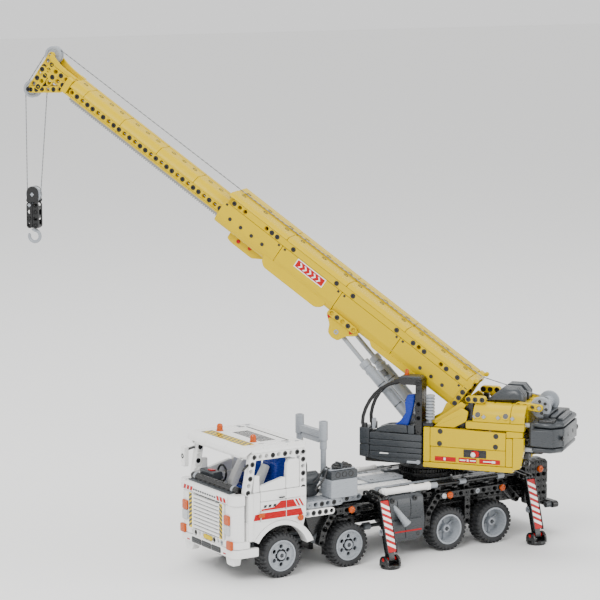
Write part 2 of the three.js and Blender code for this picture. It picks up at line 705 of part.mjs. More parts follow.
const boom = groupAt(upper, BOOM_PIVOT.u, BOOM_PIVOT.z, -BOOM_ELEVATION);
place(boom, "outer_boom", outerBoom(), yellow);
place(boom, "inner_boom", innerBoom(), yellow);
place(boom, "extension_rack", extensionRack(), lightGrey);
place(groupAt(boom, PINION.s, PINION.w), "extension_pinion", extensionPinion(), lightGrey);
place(boom, "boom_head", boomHead(), yellow);
const upperPulley = groupAt(boom, HEAD_S, UPPER_PULLEY_W);
place(upperPulley, "upper_pulley", pulley(HEAD_PULLEY, 4.5, 2.4), lightGrey);
const lowerPulley = groupAt(boom, HEAD_S, LOWER_PULLEY_W);
place(lowerPulley, "lower_pulley", pulley(HEAD_PULLEY, 4.5, 2.4), lightGrey);
place(boom, "rope_boom", ropeOverBoom(), cord);

place(upper, "rope_anchor", ropeAnchor(), black);
place(upper, "hook_block", hookBlock(), black);
const hookPulley = groupAt(upper, HOOK_U, HOOK_PULLEY_Z);
place(hookPulley, "hook_pulley", pulley(HOOK_PULLEY, 3, 2.2), lightGrey);
place(upper, "hook", hook(), lightGrey);
place(upper, "rope_falls", ropeFalls(), cord);
place(upper, "rope_winch", ropeToWinch(), cord);

const bounds = new THREE.Box3().setFromObject(crane, true);
const middle = bounds.getCenter(new THREE.Vector3());
crane.position.set(-middle.x, -middle.y, -bounds.min.z);

const truckCrane = new THREE.Group();
truckCrane.add(crane);
export default truckCrane;
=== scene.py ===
"""The looks of a toy truck crane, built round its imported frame. Metres; beams and pins on an 8 mm module."""

import math
from collections import defaultdict

import bmesh
import bpy
from mathutils import Matrix, Vector


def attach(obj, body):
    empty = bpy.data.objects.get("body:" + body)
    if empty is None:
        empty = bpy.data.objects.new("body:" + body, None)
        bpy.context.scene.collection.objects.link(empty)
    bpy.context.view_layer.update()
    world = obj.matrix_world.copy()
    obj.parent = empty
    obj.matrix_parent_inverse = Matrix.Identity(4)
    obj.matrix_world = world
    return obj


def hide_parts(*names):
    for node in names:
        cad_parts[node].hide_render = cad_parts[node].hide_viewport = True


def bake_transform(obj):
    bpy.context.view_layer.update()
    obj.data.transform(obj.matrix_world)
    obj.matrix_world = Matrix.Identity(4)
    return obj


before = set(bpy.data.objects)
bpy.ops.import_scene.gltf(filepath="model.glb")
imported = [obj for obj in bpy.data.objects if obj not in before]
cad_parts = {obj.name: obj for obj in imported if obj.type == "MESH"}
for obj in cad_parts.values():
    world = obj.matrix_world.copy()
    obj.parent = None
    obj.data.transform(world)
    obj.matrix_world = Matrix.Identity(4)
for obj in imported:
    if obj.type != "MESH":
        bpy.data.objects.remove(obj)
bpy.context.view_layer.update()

# ---- camera, floor and light -------------------------------------------------------------
# A long lens stands off the truck's near front corner. The floor is one large pale sheet,
# and three big soft lamps with a white surround leave only a faint shadow under the tyres.
MM = 0.001
LOOK_DOWN, LOOK_RIGHT = 0.149, 0.566
camera = bpy.data.objects.new("camera", bpy.data.cameras.new("camera"))
camera.data.lens, camera.data.sensor_width = 148.84, 36
camera.data.clip_end = 30
camera.location = (-1.5452, -2.4076, 0.7015)
camera.rotation_euler = (math.pi / 2 - LOOK_DOWN, 0, -LOOK_RIGHT)
bpy.context.scene.collection.objects.link(camera)
bpy.context.scene.camera = camera


def node(tree, kind, settings=None, links=None):
    """Adds a node, with values for its sockets and properties, and links into its sockets."""
    made = tree.nodes.new(kind)
    for key, value in (settings or {}).items():
        if isinstance(key, str) and hasattr(made, key):
            setattr(made, key, value)
        else:
            made.inputs[key].default_value = value
    for key, source in (links or {}).items():
        tree.links.new(source, made.inputs[key])
    return made


def colour(hex_code):
    """A linear colour from an sRGB hex value."""
    shares = [int(hex_code[i : i + 2], 16) / 255 for i in (1, 3, 5)]
    curved = [c / 12.92 if c <= 0.04045 else ((c + 0.055) / 1.055) ** 2.4 for c in shares]
    return (*curved, 1)


# Matt painted board: a flat pale tone with a trace of roller texture.
board = bpy.data.materials.new("painted_board")
board.use_nodes = True
board.node_tree.nodes.clear()
roller = node(board.node_tree, "ShaderNodeTexNoise", {"Scale": 1 / (2 * MM)})
relief = node(board.node_tree, "ShaderNodeBump", {"Strength": 0.04, "Distance": 0.1 * MM},
              {"Height": roller.outputs["Fac"]})
paint = node(board.node_tree, "ShaderNodeBsdfPrincipled",
             {"Base Color": colour("#f6f6f5"), "Roughness": 0.6, "Specular IOR Level": 0.25},
             {"Normal": relief.outputs["Normal"]})
node(board.node_tree, "ShaderNodeOutputMaterial", None, {"Surface": paint.outputs["BSDF"]})

sheet = bpy.data.meshes.new("floor")
REACH = 12
corners = [(-REACH, -REACH, 0), (REACH, -REACH, 0), (REACH, REACH, 0), (-REACH, REACH, 0)]
sheet.from_pydata(corners, [], [(0, 1, 2, 3)])
sheet.materials.append(board)
floor = bpy.data.objects.new("floor", sheet)
bpy.context.scene.collection.objects.link(floor)

surround = bpy.data.worlds.new("white_surround")
surround.use_nodes = True
surround.node_tree.nodes["Background"].inputs["Color"].default_value = colour("#ffffff")
surround.node_tree.nodes["Background"].inputs["Strength"].default_value = 1.15
bpy.context.scene.world = surround

SOFT_LAMPS = {  # where it stands, watts, and its width in metres
    "key": ((-1.7, -1.5, 2.2), 62, 1.3),
    "fill": ((1.9, -2.2, 1.1), 26, 1.6),
    "top": ((0.2, 0.5, 2.6), 34, 1.8),
}
for name, (place, watts, width) in SOFT_LAMPS.items():
    lamp = bpy.data.objects.new(name, bpy.data.lights.new(name, "AREA"))
    lamp.data.energy, lamp.data.size = watts, width
    lamp.location = place
    lamp.rotation_euler = (Vector((0, 0, 0.22)) - Vector(place)).to_track_quat("-Z", "Y").to_euler()
    bpy.context.scene.collection.objects.link(lamp)

# ---- the hoist rope ------------------------------------------------------------------------
# One thin grey cord, laid from three twisted strands. It comes off the drum, runs over the
# boom, round both head pulleys, down to the hook's pulley and back up to its anchor.
SLEW_AXIS = 232.8  # behind the front axle, in millimetres
SLEW_TURN = math.pi - 0.896
BOOM_LIFT = 0.612
BOOM_PIVOT = (-56, 0, 160)
truck = Matrix.Translation((-150.5548, -116.7345, 0))
upper = truck @ Matrix.Translation((SLEW_AXIS, 0, 0)) @ Matrix.Rotation(SLEW_TURN, 4, "Z")
boom = upper @ Matrix.Translation(BOOM_PIVOT) @ Matrix.Rotation(-BOOM_LIFT, 4, "Y")
in_metres = Matrix.Scale(MM, 4)


def lay_mesh(name, place, shapes, material, smooth_below=50):
    """One object from shapes of (corners, faces) in millimetres, put in the row frame."""
    built = bmesh.new()
    for corners, faces in shapes:
        placed = [built.verts.new(in_metres @ (place @ Vector(c))) for c in corners]
        for face in faces:
            built.faces.new([placed[i] for i in face])
    bmesh.ops.remove_doubles(built, verts=built.verts, dist=0.01 * MM)
    bmesh.ops.recalc_face_normals(built, faces=built.faces)
    mesh = bpy.data.meshes.new(name)
    built.to_mesh(mesh)
    built.free()
    mesh.materials.append(material)
    mesh.shade_smooth()
    mesh.set_sharp_from_angle(angle=math.radians(smooth_below))
    made = bpy.data.objects.new(name, mesh)
    bpy.context.scene.collection.objects.link(made)
    return made


def piece(name, body, place, shapes, material, stands_for=()):
    """A moulded piece that rides on a body: broad faces stay flat and their edges look rounded."""
    made = lay_mesh(name, place, shapes, material)
    made.modifiers.new("edges", "WEIGHTED_NORMAL").keep_sharp = True
    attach(made, body)
    if stands_for:
        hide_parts(*stands_for)
    return made


def along(points, radius, sides=10, capped=True):
    """A round tube through the points, with its rings square to the bends between them."""
    path = [Vector(p) for p in points]
    level = Vector((0, 0, 1))
    rings = []
    for i, point in enumerate(path):
        ahead = (path[min(i + 1, len(path) - 1)] - path[max(i - 1, 0)]).normalized()
        if i == 0 and abs(ahead.z) > 0.9:
            level = Vector((0, 1, 0))
        side = level.cross(ahead).normalized()
        level = ahead.cross(side)
        turns = [2 * math.pi * k / sides for k in range(sides)]
        rings.append([point + radius * (side * math.cos(a) + level * math.sin(a)) for a in turns])
    faces = [
        (i * sides + k, i * sides + (k + 1) % sides, (i + 1) * sides + (k + 1) % sides, (i + 1) * sides + k)
        for i in range(len(rings) - 1)
        for k in range(sides)
    ]
    if capped:
        faces += [tuple(range(sides)), tuple(range((len(rings) - 1) * sides, len(rings) * sides))]
    return [corner for ring in rings for corner in ring], faces


def arc(centre, radius, start, end, steps):
    """Points in the X-Z plane on a round bend, both ends included."""
    turns = [start + (end - start) * i / steps for i in range(steps + 1)]
    return [(centre[0] + radius * math.cos(a), 0, centre[1] + radius * math.sin(a)) for a in turns]


def spaced(points, step):
    """The same route with a point at least every step."""
    route = [Vector(points[0])]
    for a, b in zip(points, points[1:]):
        count = max(1, math.ceil((Vector(b) - Vector(a)).length / step))
        route += [Vector(a).lerp(Vector(b), k / count) for k in range(1, count + 1)]
    return route


# Twisted polyester: dull, with the strands' slant as a fine spiral ridge, and painted shade in the grooves
# between strands.
ROPE_LAY = 2.4  # length of one turn of the strands, drawn coarse enough to show
cord_stuff = bpy.data.materials.new("twisted_polyester")
cord_stuff.use_nodes = True
tree = cord_stuff.node_tree
tree.nodes.clear()
place_on = node(tree, "ShaderNodeTexCoord").outputs["Object"]
strands = node(tree, "ShaderNodeTexWave", {"Scale": 1 / (ROPE_LAY * MM) / math.pi, "Distortion": 1.5,
               "bands_direction": "DIAGONAL"}, {"Vector": place_on})
# Painted shade: the grey follows the strands' relief, darker in the grooves between strands and lighter on
# their crowns.
tone = node(tree, "ShaderNodeMix", {"data_type": "RGBA", 6: colour("#5d5f62"), 7: colour("#93969a")},
            {0: strands.outputs["Fac"]})
lay_relief = node(tree, "ShaderNodeBump", {"Strength": 0.6, "Distance": 0.2 * MM},
                  {"Height": strands.outputs["Fac"]})
fibre = node(tree, "ShaderNodeBsdfPrincipled", {"Roughness": 0.85, "Sheen Weight": 0.2},
             {"Base Color": tone.outputs[2], "Normal": lay_relief.outputs["Normal"]})
node(tree, "ShaderNodeOutputMaterial", None, {"Surface": fibre.outputs["BSDF"]})

ROPE_RADIUS = 0.6
HEAD = 649  # the head pulleys' axles, along the boom
UPPER_PULLEY, LOWER_PULLEY = 23.5, -26
HEAD_ROPE, HOOK_ROPE = 9.6, 8.75  # from a pulley's middle to the rope in its groove
DRUM = (-140, 168)
HOOK = (491, 385)
ANCHOR = (471.6, 514)

drum_turn = arc(DRUM, 7.6, math.pi / 2 + 0.6, math.pi / 2, 4)
boom_rear = boom @ Vector((11.4, 0, 34.6))
lead = [upper @ Vector(p) for p in drum_turn] + [boom_rear]
down = (boom.inverted() @ upper).to_3x3() @ Vector((1, 0, 0))
leave_turn = math.atan2(down.z, down.x)
over_head = arc((HEAD, UPPER_PULLEY), HEAD_ROPE, math.pi / 2, 0, 8)
down_head = arc((HEAD, LOWER_PULLEY), HEAD_ROPE, 0, leave_turn, 5)
over_boom = [boom @ Vector(p) for p in [(12, 0, 34.6)] + over_head + down_head]
off_head = upper.inverted() @ over_boom[-1]
hook_turn = arc(HOOK, HOOK_ROPE, math.pi, 2 * math.pi, 12)
falls = [upper @ Vector(p) for p in [(ANCHOR[0], 0, ANCHOR[1] - 2.8)] + hook_turn + [off_head]]

ROPES = {  # route, the two bodies it runs between, and where it changes from one to the other
    "rope_winch": (lead, "superstructure", "outer_boom", lead[-2], lead[-1]),
    "rope_boom": (over_boom, "outer_boom", "inner_boom", over_boom[0], over_boom[1]),
    "rope_falls": (falls, "rope_hanger", "hook_block", falls[0], falls[1]),
}
for name, (route, first, second, start, end) in ROPES.items():
    even = spaced(route, 6)
    rope = lay_mesh(name + "_cord", Matrix(), [along(even, ROPE_RADIUS, 8)], cord_stuff)
    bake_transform(rope)
    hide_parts(name)
    line = [Vector(p) * MM for p in even]
    length = sum((b - a).length for a, b in zip(line, line[1:]))
    line[0]

# ---- the chassis frame ---------------------------------------------------------------------
# A ladder of black module beams, pinned together: every beam is moulded ABS with round holes
# 8 mm apart, each hole sunk at both faces for the collar of a friction pin.
MODULE = 8
BEAM = 7.8  # a beam's width and height
BORE, SUNK, SUNK_DEEP = 2.4, 3.1, 0.8
SIDES = 16
SETTING = {"x": lambda a, b, h: (h, a, b), "y": lambda a, b, h: (a, h, b), "z": lambda a, b, h: (a, b, h)}


def inset(outline, by):
    """The outline moved inwards by that much, corner by corner."""
    n = len(outline)
    area = sum(outline[i - 1][0] * outline[i][1] - outline[i][0] * outline[i - 1][1] for i in range(n))
    turn = 1 if area > 0 else -1
    moved = []
    for i in range(n):
        before, here, after = (Vector(outline[j % n]) for j in (i - 1, i, i + 1))
        first, second = ((b - a).normalized() for a, b in ((before, here), (here, after)))
        in_1, in_2 = (Vector((-d.y, d.x)) * turn for d in (first, second))
        moved.append(here + (in_1 + in_2) * by / max(0.4, 1 + in_1.dot(in_2)))
    return moved


def plate(outline, low, high, across="y", edge=0.4):
    """An outline pulled across an axis, with a small flat on both rims where light catches."""
    inner = inset(outline, edge)
    levels = [(inner, low), (outline, low + edge), (outline, high - edge), (inner, high)]
    n = len(outline)
    corners = [SETTING[across](p[0], p[1], level) for ring, level in levels for p in ring]
    faces = [(r * n + i, r * n + (i + 1) % n, (r + 1) * n + (i + 1) % n, (r + 1) * n + i)
             for r in range(3) for i in range(n)]
    return corners, faces + [tuple(range(n)), tuple(range(3 * n, 4 * n))]


def rounded(outline, radius, steps=4):
    """The outline with each corner turned into a short bend."""
    smooth, n = [], len(outline)
    for i in range(n):
        before, here, after = (Vector(outline[j % n]) for j in (i - 1, i, i + 1))
        back = min(radius, (before - here).length * 0.48)
        ahead = min(radius, (after - here).length * 0.48)
        a = here + (before - here).normalized() * back
        b = here + (after - here).normalized() * ahead
        for k in range(steps + 1):
            t = k / steps
            smooth.append(a.lerp(here, t).lerp(here.lerp(b, t), t))
    return smooth


def block(x, y, z, across="y", edge=0.4, corner=0.4):
    """A box between two limits on each axis, with its corners and rims taken off."""
    spans = {"x": (y, z, x), "y": (x, z, y), "z": (x, y, z)}[across]
    (a0, a1), (b0, b1), (low, high) = spans
    outline = [(a0, b0), (a1, b0), (a1, b1), (a0, b1)]
    return plate(rounded(outline, corner, 2 if corner > 1 else 1), low, high, across, edge)


def turned(profile, centre=(0, 0, 0), axis="y", sides=24):
    """A profile of (radius, height) turned round an axis through the centre."""
    n = len(profile)
    corners = []
    for k in range(sides):
        c, s = math.cos(2 * math.pi * k / sides), math.sin(2 * math.pi * k / sides)
        corners += [Vector(SETTING[axis](r * c, r * s, h)) + Vector(centre) for r, h in profile]
    faces = [(k * n + i, k * n + (i + 1) % n, (k + 1) % sides * n + (i + 1) % n, (k + 1) % sides * n + i)
             for k in range(sides) for i in range(n)]
    return corners, faces


def rod(centre, axis, radius, length, sides=16, edge=0.3):
    """A round bar or pipe-end with its rims taken off."""
    half = length / 2
    profile = [(0, -half), (radius - edge, -half), (radius, -half + edge),
               (radius, half - edge), (radius - edge, half), (0, half)]
    return turned(profile, centre, axis, sides)


def moved(shape, matrix):
    return [matrix @ Vector(c) for c in shape[0]], shape[1]


def outward(side, near, far):
    """Two distances from the middle plane on one side of it, the lower first."""
    return sorted((side * near, side * far))


def flipped(shape, axis=1):
    """The same shape on the other side of the middle plane."""
    return [Vector([-c if i == axis else c for i, c in enumerate(p)]) for p in shape[0]], shape[1]


def beam_ring(round_left, round_right, height):
    """Sixteen points round one module of a beam, seen along its holes."""
    points = []
    for k in range(SIDES):
        turn = math.radians(-45 + 22.5 * k)
        c, s = math.cos(turn), math.sin(turn)
        share = (k % 4) / 2 - 1
        flat = [(4, height * share), (-4 * share, height), (-4, -height * share),
                (4 * share, -height)][k // 4]
        bends = (c > 0.01 and round_right) or (c < -0.01 and round_left)
        points.append((height * c, height * s) if bends else flat)
    return points


def module_of_beam(round_left, round_right, holed, width, height):
    """One step of a beam, open where it meets the next step."""
    edge = 0.35
    half = width / 2
    face, wall = (beam_ring(round_left, round_right, height / 2 - e) for e in (edge, 0))
    ring = [(math.cos(math.radians(-45 + 22.5 * k)), math.sin(math.radians(-45 + 22.5 * k)))
            for k in range(SIDES)]
    loops = [[(x, -half, z) for x, z in face], [(x, -half + edge, z) for x, z in wall],
             [(x, half - edge, z) for x, z in wall], [(x, half, z) for x, z in face]]
    steps = [(SUNK, half), (SUNK, half - SUNK_DEEP), (BORE, half - SUNK_DEEP),
             (BORE, SUNK_DEEP - half), (SUNK, SUNK_DEEP - half), (SUNK, -half)]
    if holed:
        loops += [[(r * c, y, r * s) for c, s in ring] for r, y in steps]
    corners = [p for loop in loops for p in loop]
    faces = []
    for a in range(len(loops)):
        b = (a + 1) % len(loops)
        if b == 0 and not holed or a == 3 and not holed:
            continue
        for k in range(SIDES):
            inner = (k // 4 == 0 and not round_right) or (k // 4 == 2 and not round_left)
            if inner and a < 3:
                continue
            nxt = (k + 1) % SIDES
            faces.append((a * SIDES + k, a * SIDES + nxt, b * SIDES + nxt, b * SIDES + k))
    if not holed:
        faces += [tuple(range(SIDES)), tuple(range(3 * SIDES, 4 * SIDES))]
    return corners, faces


def pin_end(side):
    """The end of a friction pin: a collar in the sunk rim and a hollow middle."""
    top = BEAM / 2
    profile = [(0, top - 1.7), (1.25, top - 1.7), (1.25, top - 0.2), (2.25, top - 0.2),
               (2.25, top - 0.45), (2.95, top - 0.45), (2.95, top - 0.85), (2.3, top - 2.4), (0, top - 2.4)]
    return turned([(r, side * h) for r, h in profile], sides=14)


def axle_end(side, reach=0.1):
    """The end of a cross-shaped axle."""
    arm, web = 2.3, 0.9
    quarter = [(arm, web), (web, web), (web, arm)]
    outline = [(x * c - z * s, x * s + z * c)
               for c, s in ((1, 0), (0, 1), (-1, 0), (0, -1)) for x, z in quarter]
    low, high = sorted((side * (BEAM / 2 - 3), side * (BEAM / 2 + reach)))
    return plate(outline, low, high, edge=0.25)


PINS = {"b": ("black", pin_end), "g": ("light_grey", axle_end), "r": ("red", axle_end),
        "k": ("black", axle_end),
        "t": ("light_grey", pin_end)}
modules = {}


def beam(kit, finish, start, end, holes=None, across=(0, 1, 0), width=BEAM, height=BEAM, faces=(-1, 1)):
    """Adds a beam with round ends between two hole centres, and the pins in it, to a kit of parts.
    Each letter of holes is one module: o open, - plain, b black pin, g and r grey and red axle."""
    start, end = Vector(start), Vector(end)
    length = (end - start).length
    count = round(length / MODULE) + 1
    lengthwise = (end - start).normalized() if count > 1 else Vector((1, 0, 0))
    hole_axis = Vector(across).normalized()
    upright = lengthwise.cross(hole_axis)
    turn = Matrix((lengthwise, hole_axis, upright)).transposed().to_4x4()
    stretch = length / MODULE / (count - 1) if count > 1 else 1
    holes = holes or "o" * count
    for i in range(count):
        letter = holes[i % len(holes)]
        if letter == " ":
            continue
        key = (i == 0, i == count - 1, letter != "-", width, height)
        if key not in modules:
            modules[key] = module_of_beam(*key)
        place = Matrix.Translation(start) @ turn @ Matrix.Diagonal((stretch, 1, 1, 1))
        kit[finish].append(moved(modules[key], place @ Matrix.Translation((i * MODULE, 0, 0))))
        if letter in PINS:
            pin_finish, shape = PINS[letter]
            at = Matrix.Translation(start + lengthwise * (i * MODULE * stretch)) @ turn
            sunk = Matrix.Translation((0, (width - BEAM) / 2, 0))
            for side in faces:
                offset = sunk if side > 0 else sunk.inverted()
                kit[pin_finish].append(moved(shape(side), at @ offset))


def stud_row(kit, finish, points, across=(0, 1, 0), shape=pin_end, face=1):
    """Adds loose pin ends with their collars level with the points, facing along an axis."""
    out = Vector(across).normalized()
    turn = Vector((0, 1, 0)).rotation_difference(out).to_matrix().to_4x4()
    for p in points:
        place = Matrix.Translation(Vector(p) - out * (BEAM / 2 - 0.25)) @ turn
        kit[finish].append(moved(shape(face), place))


def moulded_abs(name, hex_code, roughness=0.24, tint=0.06, gloss_level=0.5):
    """ABS from a polished mould: an even, saturated colour under a clear gloss. Faint flow marks
    shift the tone by the hand's width, and a fine grain and rubbed scratches break the shine."""
    made = bpy.data.materials.new(name)
    made.use_nodes = True
    tree = made.node_tree
    tree.nodes.clear()
    where = node(tree, "ShaderNodeTexCoord").outputs["Object"]
    flow = node(tree, "ShaderNodeTexNoise", {"Scale": 1 / (22 * MM), "Detail": 2}, {"Vector": where})
    base = colour(hex_code)
    darker = (*[c * (1 - tint) for c in base[:3]], 1)
    tone = node(tree, "ShaderNodeMix", {"data_type": "RGBA", 6: base, 7: darker}, {0: flow.outputs["Fac"]})
    combed = node(tree, "ShaderNodeMapping", {"Scale": (1, 1, 7), "Rotation": (0.4, 0.9, 0.2)},
                  {"Vector": where})
    rubs = node(tree, "ShaderNodeTexNoise", {"Scale": 1 / (5 * MM), "Detail": 4},
                {"Vector": combed.outputs["Vector"]})
    shine = node(tree, "ShaderNodeMapRange", {"From Min": 0.35, "From Max": 0.75, "To Min": roughness * 0.8,
                 "To Max": roughness * 1.5}, {"Value": rubs.outputs["Fac"]})
    grain = node(tree, "ShaderNodeTexNoise", {"Scale": 1 / (0.8 * MM), "Detail": 2}, {"Vector": where})
    relief = node(tree, "ShaderNodeBump", {"Strength": 0.12, "Distance": 0.05 * MM},
                  {"Height": grain.outputs["Fac"]})
    gloss = node(tree, "ShaderNodeBsdfPrincipled", {"IOR": 1.54, "Specular IOR Level": gloss_level},
                 {"Base Color": tone.outputs[2], "Roughness": shine.outputs["Result"],
                  "Normal": relief.outputs["Normal"]})
    node(tree, "ShaderNodeOutputMaterial", None, {"Surface": gloss.outputs["BSDF"]})
    return made


STOCK = {
    "black": (moulded_abs("black_abs_gloss", "#0e0f10", 0.26, 0.2), "black_abs"),
    "dark_grey": (moulded_abs("dark_grey_abs_gloss", "#33373b", 0.3), "dark_grey_abs"),
    "light_grey": (moulded_abs("light_grey_abs_gloss", "#969ba1", 0.28), "light_grey_abs"),
    "white": (moulded_abs("white_abs_gloss", "#eeeeec", 0.22, 0.03), "white_abs"),
    "red": (moulded_abs("red_abs_gloss", "#b00008", 0.25, 0.06, 0.2), "red_abs"),
}


def assemble(kit, group, body, place, stands_for=()):
    for finish, shapes in kit.items():
        material, slot_name = STOCK[finish]
        piece(f"{group}_{finish}", body, place, shapes, material, stands_for)


AXLES = (0, 88, 224, 288)  # along the truck, from the front axle
AXLE_HEIGHT = 24.75
SPINE_Y = 19
ladder = defaultdict(list)
for side in (-1, 1):
    for level, holes in ((42, "bobo"), (50, "oobo"), (58, "obob")):
        beam(ladder, "black", (-40, side * SPINE_Y, level), (368, side * SPINE_Y, level), holes)
for x in range(-40, 370, 24):
    beam(ladder, "dark_grey", (x, -12, 46), (x, 12, 46), "obo", across=(1, 0, 0))
ladder["black"].append(block((-44, 370), (-14, 14), (61, 65.8), "z", 0.4, 3))
for x in AXLES:
    ladder["dark_grey"].append(block((x - 9, x + 9), (-14, 14), (14, 40), "y", 0.6, 4))
    ladder["light_grey"].append(rod((x, 0, AXLE_HEIGHT), "x", 9, 22, 20))
    reach = 30 if x < 200 else 38
    for side in (-1, 1):
        for level in (9.5, 42) if x < 200 else (20, 34):
            beam(ladder, "black", (x - 4, side * 14, level), (x - 4, side * reach, level), "obo",
                 across=(0, 0, 1), height=6)
        steered = x < 200
        ladder["dark_grey"].append(rod((x, side * (17 if steered else 22), AXLE_HEIGHT), "y", 2.3,
                                       14 if steered else 26))
        if not steered:
            ladder["light_grey"].append(rod((x, side * 36, AXLE_HEIGHT), "y", 4, 8))
shaft = [(-36, 0, 26), (330, 0, 26)]
ladder["dark_grey"].append(along(shaft, 2.3, 12))
for x in (40, 150, 190, 256):
    ladder["light_grey"].append(rod((x, 0, 26), "x", 4.4, 9, 16))
assemble(ladder, "chassis_frame", "chassis", truck, ("chassis_frame",))

# ---- steering knuckles and wheels ------------------------------------------------------------
# Black rubber tyres with chunky cross lugs pulled over light grey rims: the steered pairs have
# flush discs with six holes, the driven pairs deep dishes with a wide lip.
TYRE, TYRE_WIDTH = 24.75, 20
LUGS = 30


def tyre_rubber():
    """Moulded rubber: near black, matt, with a faint bloom and a fine rough grain."""
    made = bpy.data.materials.new("tyre_rubber_matt")
    made.use_nodes = True
    tree = made.node_tree
    tree.nodes.clear()
    where = node(tree, "ShaderNodeTexCoord").outputs["Object"]
    bloom = node(tree, "ShaderNodeTexNoise", {"Scale": 1 / (9 * MM), "Detail": 4}, {"Vector": where})
    tone = node(tree, "ShaderNodeMix", {"data_type": "RGBA", 6: colour("#1d1e20"), 7: colour("#2b2c2e")},
                {0: bloom.outputs["Fac"]})
    grain = node(tree, "ShaderNodeTexVoronoi", {"Scale": 1 / (0.9 * MM)}, {"Vector": where})
    relief = node(tree, "ShaderNodeBump", {"Strength": 0.3, "Distance": 0.08 * MM},
                  {"Height": grain.outputs["Distance"]})
    soft = node(tree, "ShaderNodeBsdfPrincipled", {"Roughness": 0.62, "IOR": 1.52},
                {"Base Color": tone.outputs[2], "Normal": relief.outputs["Normal"]})
    node(tree, "ShaderNodeOutputMaterial", None, {"Surface": soft.outputs["BSDF"]})
    return made


STOCK["rubber"] = (tyre_rubber(), "tyre_rubber")


def tyre():
    half = TYRE_WIDTH / 2
    section = [(17.2, -half + 1.2), (18.4, -half), (21.4, -half + 0.2), (23.2, -half + 2.2),
               (23.6, -half + 4),
               (23.6, half - 4), (23.2, half - 2.2), (21.4, half - 0.2), (18.4, half), (17.2, half - 1.2)]
    shapes = [turned(section, sides=60)]
    for k in range(LUGS):
        for side in (-1, 1):
            turn = 2 * math.pi * (k + (0.25 if side > 0 else -0.25)) / LUGS
            lug = [(-1.7, 22.6), (1.7, 22.6), (1.45, TYRE - 0.05), (-1.45, TYRE - 0.05)]
            low, high = sorted((side * 0.9, side * (half - 1.1)))
            shapes.append(moved(plate(lug, low, high, edge=0.5), Matrix.Rotation(turn, 4, "Y")))
            shoulder = [(-1.5, 20.6), (1.5, 20.6), (1.3, 23.6), (-1.3, 23.6)]
            low, high = sorted((side * (half - 2.4), side * (half - 0.05)))
            shapes.append(moved(plate(shoulder, low, high, edge=0.4), Matrix.Rotation(turn, 4, "Y")))
    return shapes


def flush_rim(out):
    """A steered wheel's rim: a lip, a flat disc with six holes, and a raised hub round the axle."""
    half = TYRE_WIDTH / 2
    lip = [(15.2, half - 2.2), (15.6, half - 0.5), (17.3, half - 0.4), (17.3, -half + 1), (14.2, -half + 1),
           (14.2, half - 2.2)]
    hub = [(2.4, half - 6), (2.4, half - 0.9), (4.4, half - 0.6), (5, half - 1.2), (5, half - 6)]
    shapes = [turned(lip, sides=48), turned(hub, sides=24), turned([(4.9, half - 3), (7.3, half - 3),
              (7.3, half - 5.4), (4.9, half - 5.4)], sides=36),
              turned([(12.7, half - 3), (14.6, half - 2.6),
              (14.6, half - 5.4), (12.7, half - 5.4)], sides=36)]
    for k in range(6):
        ring = turned([(2.5, half - 5), (2.5, half - 2.4), (3.4, half - 2.4), (3.4, half - 5)], (0, 0, 10),
                      sides=16)
        shapes.append(moved(ring, Matrix.Rotation(math.pi * k / 3, 4, "Y")))
        for share in (-1, 1):
            bite = [(share * 2.6 * math.sin(t), 10 - 2.6 * math.cos(t))
                    for t in [math.pi * j / 8 for j in range(9)]]
            rim_edge = [(share * 14.4 * math.sin(t), 14.4 * math.cos(t))
                        for t in (0, 0.17, 0.35, math.pi / 6)]
            hub_edge = [(share * 4.9 * math.sin(t), 4.9 * math.cos(t)) for t in (math.pi / 6, 0.25, 0)]
            fan = plate([*bite, *rim_edge, *hub_edge], half - 5.2, half - 3, edge=0.05)
            shapes.append(moved(fan, Matrix.Rotation(math.pi * k / 3, 4, "Y")))
    shapes.append(turned([(0, -half + 2), (14.4, -half + 2), (14.4, -half + 4), (0, -half + 4)], sides=36))
    return [shape if out > 0 else flipped(shape) for shape in shapes]


def deep_rim(out):
    """A driven wheel's rim: a wide lip round a deep dish with a ringed hub at the bottom."""
    half = TYRE_WIDTH / 2
    dish = [(15, half - 1.6), (15.6, half - 0.3), (17.3, half - 0.4), (17.3, -half + 1), (14.2, -half + 1),
            (14.2, -half + 5), (8, -half + 5.5), (8, -half + 7.5), (13, -half + 7.2), (14.1, -half + 9)]
    hub = [(2.4, -half + 4), (2.4, half - 5), (4.3, half - 5), (4.9, half - 5.8), (4.9, -half + 8),
           (8.4, -half + 7.2), (8.4, -half + 4)]
    shapes = [turned(dish, sides=48), turned(hub, sides=24)]
    for k in range(6):
        rib = [(-0.7, 4.6), (0.7, 4.6), (0.7, 13.4), (-0.7, 13.4)]
        shapes.append(moved(plate(rib, -half + 6.5, -half + 9.6, edge=0.2),
                            Matrix.Rotation(math.pi * k / 3, 4, "Y")))
    return [shape if out > 0 else flipped(shape) for shape in shapes]


